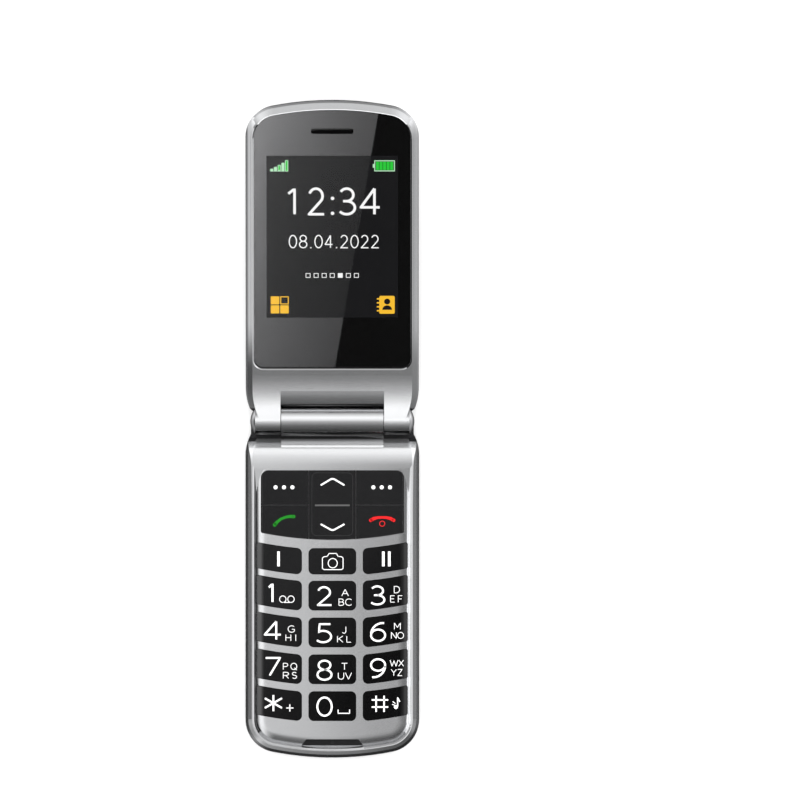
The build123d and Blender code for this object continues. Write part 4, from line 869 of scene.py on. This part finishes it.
def paintedShades():
    flat, shadow = (0.95, far), dict(back=(-far, -0.72), up=(0.05, 0.68))
    shadeSheet("notch_shade", "keypad_frame", "base", paintedShadeBlack,
          up=flat, z=(9.5, 9.9), run=(98, 101.5), side=(-far, 10.5))
    shadeSheet("ledge_lining", "keypad_frame", "base", paintedShadeBlack,
          up=flat, z=(6.5, 7.2), run=(-far, 5.3), side=(15, far))
    shadeSheet("tongue_shade", "hinge_barrel", "base", paintedShadeBlack, up=(0.9, far), z=(-far, 8.1), run=(3.9, 5.4))
    shadeSheet("lid_edge_lining", "lid_frame", "lid", grooveShadeMetal,
          side=(-far, 15.9), run=(-7, -3.5), back=(-far, -0.5), up=(0.2, far))
    shadeSheet("barrel_shade", "hinge_barrel", "base", shadeMetal, run=(-5, 5), **shadow)
    shadeSheet("knuckle_shade", "lid_frame", "lid", shadeMetal, run=(0, 5), side=(15.9, far), **shadow)
    shadeSheet("groove_shade", "keypad_frame", "base", grooveShadeMetal,
          x=(-24.8, -22.8), z=(7.5, far), y=(-far, 44), right=(0.45, far))
    shadeSheet("lens_side_shade", "lid_frame", "lid", paintedShadeBlack,
          x=(20, far), y=(20, 118), right=(-far, -0.4), offLid=(0.4, far))


paintedShades()
print("gaps lined")


# pieces grown by Geometry Nodes: wire cloth, screw sockets in black as painted shade, and grey beads along
# the command keys' edges as a painted highlight
def growing(name, sizes):
    # a node group that takes a mesh, its sizes and a material
    tree = bpy.data.node_groups.new(name, "GeometryNodeTree")
    tree.interface.new_socket("Geometry", in_out="INPUT", socket_type="NodeSocketGeometry")
    for label, start in sizes.items():
        tree.interface.new_socket(label, in_out="INPUT", socket_type="NodeSocketFloat").default_value = start
    tree.interface.new_socket("Material", in_out="INPUT", socket_type="NodeSocketMaterial")
    tree.interface.new_socket("Geometry", in_out="OUTPUT", socket_type="NodeSocketGeometry")
    t = ShaderTree(tree)
    t.add("NodeGroupInput")
    return tree, t, {socket.name: Wire(t, socket) for socket in t.last.outputs if socket.name}


def grownOut(t, shape, given):
    real = t.add("GeometryNodeRealizeInstances", inputs=[shape])
    coated = t.add("GeometryNodeSetMaterial", inputs={"Geometry": real, "Material": given["Material"]})
    t.add("NodeGroupOutput", inputs=[coated])


def vectorOf(t, x=0.0, y=0.0, z=0.0):
    return t.add("ShaderNodeCombineXYZ", inputs=[x, y, z])


def tube(t, curve, profile):
    return t.add("GeometryNodeCurveToMesh", inputs={
        "Curve": curve, "Profile Curve": profile, "Fill Caps": True})


def wireCloth():
    tree, t, given = growing("wireCloth", {"Width": 0.016, "Depth": 0.01, "Pitch": 0.0006, "Wire": 0.0001})
    width, depth, pitch = given["Width"], given["Depth"], given["Pitch"]
    profile = t.add("GeometryNodeCurvePrimitiveCircle", inputs={"Resolution": 5, "Radius": given["Wire"]})
    sets = []
    for span, reach, across, along in ((width, depth, "x", "y"), (depth, width, "y", "x")):
        count = (span / pitch).math("FLOOR") + 1
        row = t.add("GeometryNodeMeshLine", inputs={
            "Count": count, "Start Location": vectorOf(t, **{across: span * -0.5}),
            "Offset": vectorOf(t, **{across: pitch})})
        line = t.add("GeometryNodeCurvePrimitiveLine", inputs={
            "Start": vectorOf(t, **{along: reach * -0.5}), "End": vectorOf(t, **{along: reach * 0.5})})
        wire = tube(t, line, profile)
        sets.append(t.add("GeometryNodeInstanceOnPoints", inputs={"Points": row, "Instance": wire}))
    joined = t.add("GeometryNodeJoinGeometry")
    for part in sets:
        t.tree.links.new(part.socket, t.last.inputs[0])
    grownOut(t, joined, given)
    return tree


def fineEdge():
    tree, t, given = growing("fineEdge", {"Step": 0.0004, "Radius": 0.00006})
    path = t.add("GeometryNodeMeshToCurve", inputs={"Mesh": given["Geometry"]})
    even = t.add("GeometryNodeResampleCurve", dict(mode="LENGTH"), {"Curve": path, "Length": given["Step"]})
    profile = t.add("GeometryNodeCurvePrimitiveCircle", inputs={"Resolution": 6, "Radius": given["Radius"]})
    grownOut(t, tube(t, even, profile), given)
    return tree


def screwSocket():
    tree, t, given = growing("screwSocket", {"Radius": 0.0005, "Depth": 0.0001})
    star = t.add("GeometryNodeMeshCylinder", inputs={
        "Vertices": 6, "Radius": given["Radius"], "Depth": given["Depth"]})
    placed = t.add("GeometryNodeInstanceOnPoints", inputs={"Points": given["Geometry"], "Instance": star})
    grownOut(t, placed, given)
    return tree


def grown(name, tree, sizes, finish, place=Matrix(), mesh=None):
    # runs the group once and keeps the mesh that it makes
    holder = linked(name, mesh or bpy.data.meshes.new(name))
    modifier = holder.modifiers.new(tree.name, "NODES")
    modifier.node_group = tree
    names = {item.name: item.identifier for item in tree.interface.items_tree if item.in_out == "INPUT"}
    for label, value in {**sizes, "Material": finish}.items():
        modifier[names[label]] = value
    bpy.context.view_layer.update()
    made = bpy.data.meshes.new_from_object(holder.evaluated_get(bpy.context.evaluated_depsgraph_get()))
    holder.modifiers.clear()
    holder.data = made
    made.name = name
    made.transform(place)
    return holder


def boxOf(spots):
    return [Vector([pick(s[i] for s in spots) for i in range(3)]) for pick in (min, max)]


def growCloths():
    look = dict(speakerPitch=0.0006, earPitch=0.0004, wire=0.0001, earWire=0.00007, inset=0.0004, sunk=0.4)
    cloth = wireCloth()
    low, high = boxOf([v.co for v in nodes["speaker_mesh"].data.vertices])
    sizes = {"Width": high.x - low.x - look["inset"], "Depth": high.y - low.y - look["inset"],
             "Pitch": look["speakerPitch"], "Wire": look["wire"]}
    middle = ((low.x + high.x) / 2, (low.y + high.y) / 2, low.z + look["wire"] * look["sunk"])
    place = Matrix.Translation(middle)
    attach(grown("speaker_cloth", cloth, sizes, finishes["steel"], place), "base")
    flat = Matrix.Rotation(-lidTilt, 4, "X")
    low, high = boxOf([flat @ (v.co - hingePoint) for v in nodes["earpiece_mesh"].data.vertices])
    sizes = {"Width": high.x - low.x - look["inset"] * 2, "Depth": high.y - low.y - look["inset"],
             "Pitch": look["earPitch"], "Wire": look["earWire"]}
    middle = ((low.x + high.x) / 2, (low.y + high.y) / 2, high.z - look["earWire"] * look["sunk"])
    place = Matrix.Translation(hingePoint) @ Matrix.Rotation(lidTilt, 4, "X") @ Matrix.Translation(middle)
    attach(grown("earpiece_cloth", cloth, sizes, meshDark, place), "lid")


def growEdges():
    # grey beads along each command key's top edge, a painted highlight
    look = {"Step": 0.0004, "Radius": 0.00006}
    edge = fineEdge()
    for key in ("soft_key_left", "soft_key_right", "call_key", "end_key", "nav_key"):
        build = copyOf(key, within(up=(0.97, far)))
        inner = [e for e in build.edges if len(e.link_faces) != 1]
        bmesh.ops.delete(build, geom=inner, context="EDGES")
        path = bpy.data.meshes.new(key)
        build.to_mesh(path)
        build.free()
        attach(grown("edge_" + key, edge, look, edgeGrey, mesh=path), key)


def growSockets():
    # a black socket in the middle of each screw's outer face, painted shade for its recess
    look = dict(radius=0.00055, depth=0.00008, flat=0.00002)
    build = copyOf("base_screws")
    heads = []
    left = set(build.verts)
    while left:
        screw, reached = set(), {left.pop()}
        while reached:
            v = reached.pop()
            screw.add(v)
            near = {e.other_vert(v) for e in v.link_edges} & left
            left -= near
            reached |= near
        bottom = min(v.co.z for v in screw)
        ring = [v.co for v in screw if v.co.z < bottom + look["flat"]]
        heads.append(sum(ring, Vector()) / len(ring))
    build.free()
    points = bpy.data.meshes.new("screwHeads")
    points.from_pydata(heads, [], [])
    sizes = {"Radius": look["radius"], "Depth": look["depth"]}
    sockets = grown("screw_sockets", screwSocket(), sizes, paintedShadeBlack, mesh=points)
    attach(sockets, "base")


growCloths()
growEdges()
growSockets()
print("wire cloth, fine edges and screw sockets grown")


# studio
def camera():
    look = dict(lens=1500.0, sensor=36.0, pixel=0.3112, frameSide=800, centreX=332.4, hingeRow=421.5)
    data = bpy.data.cameras.new("topCamera")
    data.lens = look["lens"]
    data.sensor_width = look["sensor"]
    data.clip_end = 100
    width = look["pixel"] * look["frameSide"] * mm
    holder = linked("topCamera", data)
    x = (look["frameSide"] / 2 - look["centreX"]) * look["pixel"] * mm
    y = hingePoint.y + (look["hingeRow"] - look["frameSide"] / 2) * look["pixel"] * mm
    holder.location = (x, y, width * look["lens"] / look["sensor"])
    scene.camera = holder


def ramp(t, value, stops, low, high):
    # a tone by value: each stop is a value from low to high and its tone
    places = [((at - low) / (high - low), tone) for at, tone in stops]
    return t.add("ShaderNodeValToRGB", dict(stops=places), [(value - low) / (high - low)])


def skyTone(t, direction, look):
    # light from a direction: tones by its angle fore and aft, sideways and by its height
    x, y, z = t.split(direction)
    fore, side = (way.math("ARCSINE") * (180 / math.pi) for way in (y, x))

    def lightOf(part):
        return ramp(t, fore, part["fore"], -90, 90) * ramp(t, side, part["side"], -90, 90) * part["gain"]

    tone = lightOf(look)
    if "patch" in look:
        tone = tone + lightOf(look["patch"])
    return tone * ramp(t, z, look["down"], -1, 1)


def linkedGlow(name, corners, faces, receivers, shade):
    # see-through light that only the receivers reflect
    mesh = bpy.data.meshes.new(name)
    mesh.from_pydata(corners, [], faces)
    thing = linked(name, mesh)
    made, t = material(name + "Light")
    made.cycles.emission_sampling = "NONE"
    glow = t.add("ShaderNodeEmission", inputs={"Color": shade(t), "Strength": 1.0})
    clear = t.add("ShaderNodeBsdfTransparent")
    t.finish(t.add("ShaderNodeAddShader", inputs=[glow, clear]))
    mesh.materials.append(made)
    group = bpy.data.collections.new(name + "Receivers")
    for receiver in receivers:
        group.objects.link(receiver)
    thing.light_linking.receiver_collection = group
    thing.visible_camera = False
    thing.visible_shadow = False
    thing.visible_diffuse = False
    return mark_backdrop(thing)


def skyBox(name, receivers, look, under, half):
    # the light round the receivers, less what the walls already give them
    corners = [(x * half, y * half, z * half) for x in (-1, 1) for y in (-1, 1) for z in (-1, 1)]
    faces = [(0, 1, 3, 2), (4, 6, 7, 5), (0, 4, 5, 1), (2, 3, 7, 6), (0, 2, 6, 4), (1, 5, 7, 3)]

    def shade(t):
        way = t.add("ShaderNodeVectorMath", dict(operation="NORMALIZE"), [t.place()])
        return (skyTone(t, way, look) - skyTone(t, way, under)).math("MAXIMUM", 0.0)

    return linkedGlow(name, corners, faces, receivers, shade)


wallLook = dict(
    gain=1.0,
    fore=((-90, 0.02), (-60, 0.04), (-24, 0.08), (-10, 0.13), (0, 0.22), (15, 0.32), (30, 0.5), (50, 0.4),
          (90, 0.15)),
    side=((-90, 0.35), (-60, 0.8), (-30, 1.0), (-12, 0.9), (0, 0.7), (20, 0.55), (50, 0.4), (90, 0.3)),
    down=((-1.0, 0.05), (-0.3, 0.4), (0.0, 0.9), (0.15, 1.0), (1.0, 1.0)))
baseLook = dict(
    gain=2.2,
    fore=((-90, 0.022), (-76, 0.024), (-62, 0.05), (-50, 0.065), (-38, 0.075), (-28, 0.105), (-18, 0.18),
          (-7, 0.26), (0, 0.194), (3, 0.182), (9, 0.262), (15, 0.42), (21, 0.555), (25, 0.66), (28, 0.78),
          (36, 0.76), (47, 0.64), (58, 0.43), (68, 0.32), (80, 0.2), (90, 0.15)),
    side=((-90, 0.6), (-76, 0.55), (-68, 0.25), (-62, 0.2), (-56, 0.3), (-48, 0.5), (-30, 0.75), (0, 1.0),
          (30, 0.55), (50, 0.5), (60, 1.0), (64, 1.6), (70, 1.2), (84, 0.6), (90, 0.55)),
    down=((-1.0, 0.0), (-0.7, 0.15), (-0.5, 0.38), (-0.3, 0.65), (0.0, 1.0), (1.0, 1.0)),
    patch=dict(gain=1.2, fore=((-60, 0.0), (-30, 1.0), (30, 1.0), (60, 0.0)),
               side=((-52, 0.0), (-46, 0.7), (-41, 1.1), (-33, 1.0), (-22, 0.5), (-12, 0.0))))
lidLook = dict(
    gain=2.2,
    fore=((-90, 0.03), (-80, 0.035), (-64, 0.055), (-54, 0.075), (-45, 0.1), (-38, 0.112), (-33, 0.145),
          (-27, 0.185), (-22, 0.24), (-15, 0.285), (-10, 0.355), (-5, 0.43), (1, 0.52), (7, 0.7),
          (13, 0.8), (28, 0.72), (36, 0.55), (44, 0.39), (60, 0.26), (71, 0.13), (80, 0.11), (90, 0.1)),
    side=((-90, 0.25), (-72, 0.1), (-64, 0.35), (-50, 0.85), (-30, 0.95), (0, 1.0), (30, 0.95), (50, 0.85),
          (64, 0.7), (72, 0.5), (90, 0.5)),
    down=((-1.0, 0.0), (-0.7, 0.3), (-0.45, 0.8), (0.0, 1.0), (1.0, 1.0)))


def bounce(x, run, height, distance):
    # where the camera's line of sight goes after the lid's flat face
    spot = onLid(x, run, height)
    way = (spot - scene.camera.location).normalized()
    way -= 2 * way.dot(lidNormal) * lidNormal
    return spot + way * distance


def lensGlow():
    # a soft box seen in the lens: it ends along a slanting line and fades across
    look = dict(distance=0.5, left=-60.0, low=(0.75, 16.65), high=(13.57, 95.8), near=-60.0, far=260.0,
                lensTop=10.7, start=(-24, 98), peak=2.2, across=30.0, along=9.2)
    slant = (look["high"][0] - look["low"][0]) / (look["high"][1] - look["low"][1])

    def edge(run):
        return look["low"][0] + (run - look["low"][1]) * slant

    corners = [bounce(x, run, look["lensTop"], look["distance"]) for x, run in (
        (look["left"], look["near"]), (edge(look["near"]), look["near"]),
        (edge(look["far"]), look["far"]), (look["left"], look["far"]))]
    start = bounce(*look["start"], look["lensTop"], look["distance"])

    def shade(t):
        x, y, _ = t.split(t.place())
        across = ((x - start.x) * look["across"]).math("MAXIMUM", -0.1)
        along = ((start.y - y) * (look["along"] / math.cos(lidTilt))).math("MAXIMUM", 0.0)
        return (-across - along).math("EXPONENT") * look["peak"]

    linkedGlow("lensGlow", corners, [(0, 1, 2, 3)], [nodes["display_lens"]], shade)


def plateGlow():
    # brightens the left of the flat keypad plate
    look = dict(height=0.12, side=0.08, near=-0.09, far=0.078, soft=0.022, bright=-0.016, dim=0.02, peak=0.4)
    corners = [(x * look["side"], y, look["height"]) for x, y in (
        (-1, look["near"]), (1, look["near"]), (1, look["far"]), (-1, look["far"]))]

    def shade(t):
        x, y, _ = t.split(t.place())
        fall = 1 - x.step(look["bright"], look["dim"])
        nearEnd = y.step(look["near"], look["near"] + look["soft"])
        farEnd = 1 - y.step(look["far"] - look["soft"], look["far"])
        return fall * (nearEnd * farEnd) * look["peak"]

    linkedGlow("plateGlow", corners, [(0, 1, 2, 3)], [nodes["keypad_frame"]], shade)


def skinGlow(name, node, wanted, shade, lift=0.08):
    # a glow close over some faces of a node, for what lies too deep for the sky
    build = copyOf(node, wanted)
    build.normal_update()
    for v in build.verts:
        v.co += v.normal * (lift * mm)
    corners = [v.co[:] for v in build.verts]
    build.verts.index_update()
    faces = [[v.index for v in f.verts] for f in build.faces]
    build.free()
    linkedGlow(name, corners, faces, [nodes[node]], lambda t: shade(t) * t.backSide())


def shadeBy(way, stops, fade=None):
    # tones by x or by the run in mm, and where along y they begin and are full
    def shade(t):
        x, y, _ = t.split(t.place())
        place = x / mm if way == "x" else hingeY - y / mm
        tone = ramp(t, place, stops, stops[0][0], stops[-1][0])
        return tone * (y / mm).step(*fade) if fade else tone

    return shade


def hingeGlows():
    look = dict(
        barrel=((-1.6, 0.0), (-1.09, 0.16), (-0.78, 0.32), (-0.47, 0.46), (-0.16, 0.34), (0.16, 0.09),
                (0.5, 0.0)),
        middle=((4.9, 0.0), (5.13, 0.0), (5.45, 0.12), (5.76, 0.2), (6.07, 0.29), (6.38, 0.45), (6.69, 0.58),
                (7.0, 0.57), (7.3, 0.25), (7.6, 0.2), (7.9, 0.12), (8.6, 0.0)),
        ends=((4.9, 0.0), (5.13, 0.02), (5.45, 0.09), (6.07, 0.11), (6.38, 0.13), (6.69, 0.17), (7.0, 0.29),
              (7.3, 0.36), (7.6, 0.46), (7.9, 0.29), (8.2, 0.12), (9.3, 0.0)))
    barrel = within(run=(-3, 3), up=(0.6, far))
    crest = within(run=(4.9, 9.3), up=(0.3, far), back=(0.1, far))
    skinGlow("barrelGlow", "hinge_barrel", barrel, shadeBy("run", look["barrel"]))
    skinGlow("crestGlow", "hinge_barrel", crest, shadeBy("run", look["middle"]))
    skinGlow("crestEndGlow", "keypad_frame", crest, shadeBy("run", look["ends"]))


def baseGlows():
    look = dict(
        rim=((-27.5, 0.33), (-24.5, 0.28), (0.0, 0.22), (24.0, 0.75), (25.0, 0.5), (27.5, 0.33)),
        tip=((-27.5, 0.28), (-24.0, 0.42), (-12.0, 0.3), (8.0, 0.22), (27.5, 0.03)), tipFade=(-30, -44),
             groove=0.9)
    top = within(up=(0.9, far), z=(9.2, far), y=(-far, 40))
    sides, end = within(side=(24.3, far)), within(y=(-far, -49.3))
    rim = shadeBy("x", look["rim"])
    skinGlow("rimGlow", "keypad_frame", lambda *face: top(*face) and (sides(*face) or end(*face)), rim)
    skinGlow("bezelRimGlow", "base_bezel", within(up=(0.9, far)), rim)
    groove = within(x=(22.8, far), z=(7.5, far), y=(-far, 44), lean=(0.45, far), up=(-0.87, 0.87))
    skinGlow("grooveGlow", "keypad_frame", groove, lambda t: look["groove"])
    tip = within(y=(-far, -25), up=(0.55, 0.8))
    skinGlow("tipGlow", "base_bezel", tip, shadeBy("x", look["tip"], look["tipFade"]))


def lidGlows():
    look = dict(
        flank=((-27.5, 0.0), (-26.5, 0.1), (-26.1, 0.75), (-25.2, 0.68), (-24.9, 0.9), (-24.3, 0.9),
               (24.3, 0.36), (25.6, 0.25), (26.3, 0.36), (26.9, 0.08), (27.5, 0.0)),
        flankFade=(68, 84), lensEdge=2.4, lensSide=0.5, lensLift=0.03)
    flank = within(side=(24.2, far), y=(look["flankFade"][0], far), offLid=(0.2, far), outward=(-2, far))
    for node in ("lid_frame", "lid_bezel"):
        skinGlow(node + "Glow", node, flank, shadeBy("x", look["flank"], look["flankFade"]))
    edge = within(y=(110, far), alongLid=(-far, -0.4), offLid=(0.4, far))
    side = within(x=(-far, -20), y=(24, 118), right=(0.4, far), offLid=(0.4, far))
    skinGlow("lensEdgeGlow", "lid_frame", edge, lambda t: look["lensEdge"], look["lensLift"])
    skinGlow("lensSideGlow", "lid_frame", side, lambda t: look["lensSide"], look["lensLift"])


def keyGlows():
    look = dict(
        left=((-24.5, 9.6), (-22.5, 10.0), (-22.2, 8.5), (-21.9, 4.5), (-21.6, 2.0), (-21.2, 0.0)),
        right=((21.0, 0.0), (21.97, 1.6), (22.28, 2.9), (22.6, 5.0), (23.4, 5.2)),
        keys=dict(left=("key_one_touch", "key_1", "key_4", "key_7", "key_star"),
                  right=("key_two_touch", "key_3", "key_6", "key_9", "key_hash")))
    outer = within(side=(20.9, far), up=(0.4, far))
    for side, keys in look["keys"].items():
        for key in keys:
            skinGlow("sideLight_" + key, key, outer, shadeBy("x", look[side]))


def paperFloor():
    look = dict(tone=0.88, half=3.0)
    mesh = bpy.data.meshes.new("floor")
    corners = [(x * look["half"], y * look["half"], 0) for x, y in ((-1, -1), (1, -1), (1, 1), (-1, 1))]
    mesh.from_pydata(corners, [], [(0, 1, 2, 3)])
    floor = linked("floor", mesh)
    made, t = material("floorPaper")
    fibre = t.noise(900, 3.0)
    paper = t.add("ShaderNodeBsdfPrincipled", inputs={
        "Base Color": t.mixColour(fibre, grey(look["tone"] - 0.01), grey(look["tone"] + 0.01)),
        "Roughness": 0.8, "Specular IOR Level": 0.1})
    clear = t.add("ShaderNodeBsdfTransparent")
    t.finish(t.add("ShaderNodeMixShader", inputs=[t.backSide(), paper, clear]))  # see-through from below
    mesh.materials.append(made)
    floor.visible_glossy = False


def topLight():
    look = dict(size=1.6, place=(0, 0.05, 1.9), power=48.0)
    top = bpy.data.lights.new("topLight", "AREA")
    top.shape = "DISK"
    top.size = look["size"]
    top.energy = look["power"]
    holder = linked("topLight", top)
    holder.location = look["place"]
    holder.visible_glossy = False
    holder.visible_camera = False
    holder.visible_transmission = False


def studioWalls():
    look = dict(roomTone=0.85, baseSky=5.0, lidSky=5.6)
    world = bpy.data.worlds.new("studioWalls")
    scene.world = world
    world.use_nodes = True
    t = ShaderTree(world.node_tree)
    tone = skyTone(t, t.add("ShaderNodeTexCoord", output="Generated"), wallLook)
    mirrored = t.add("ShaderNodeLightPath", output="Is Glossy Ray")
    colour = t.mixColour(mirrored, grey(look["roomTone"]), tone)
    background = t.add("ShaderNodeBackground", inputs={"Color": colour, "Strength": 1.0})
    t.add("ShaderNodeOutputWorld", inputs={"Surface": background})
    world.cycles.sampling_method = "NONE"
    silverBase = [nodes[name] for name in ("keypad_frame", "base_bezel", "hinge_barrel")]
    silverLid = [nodes[name] for name in ("lid_frame", "lid_bezel", "hinge_caps")]
    skyBox("baseSky", silverBase, baseLook, wallLook, look["baseSky"])
    skyBox("lidSky", silverLid, lidLook, wallLook, look["lidSky"])


camera()
paperFloor()
topLight()
studioWalls()
lensGlow()
plateGlow()
hingeGlows()
baseGlows()
lidGlows()
keyGlows()
scene.view_settings.view_transform = "Standard"
print("studio ready")
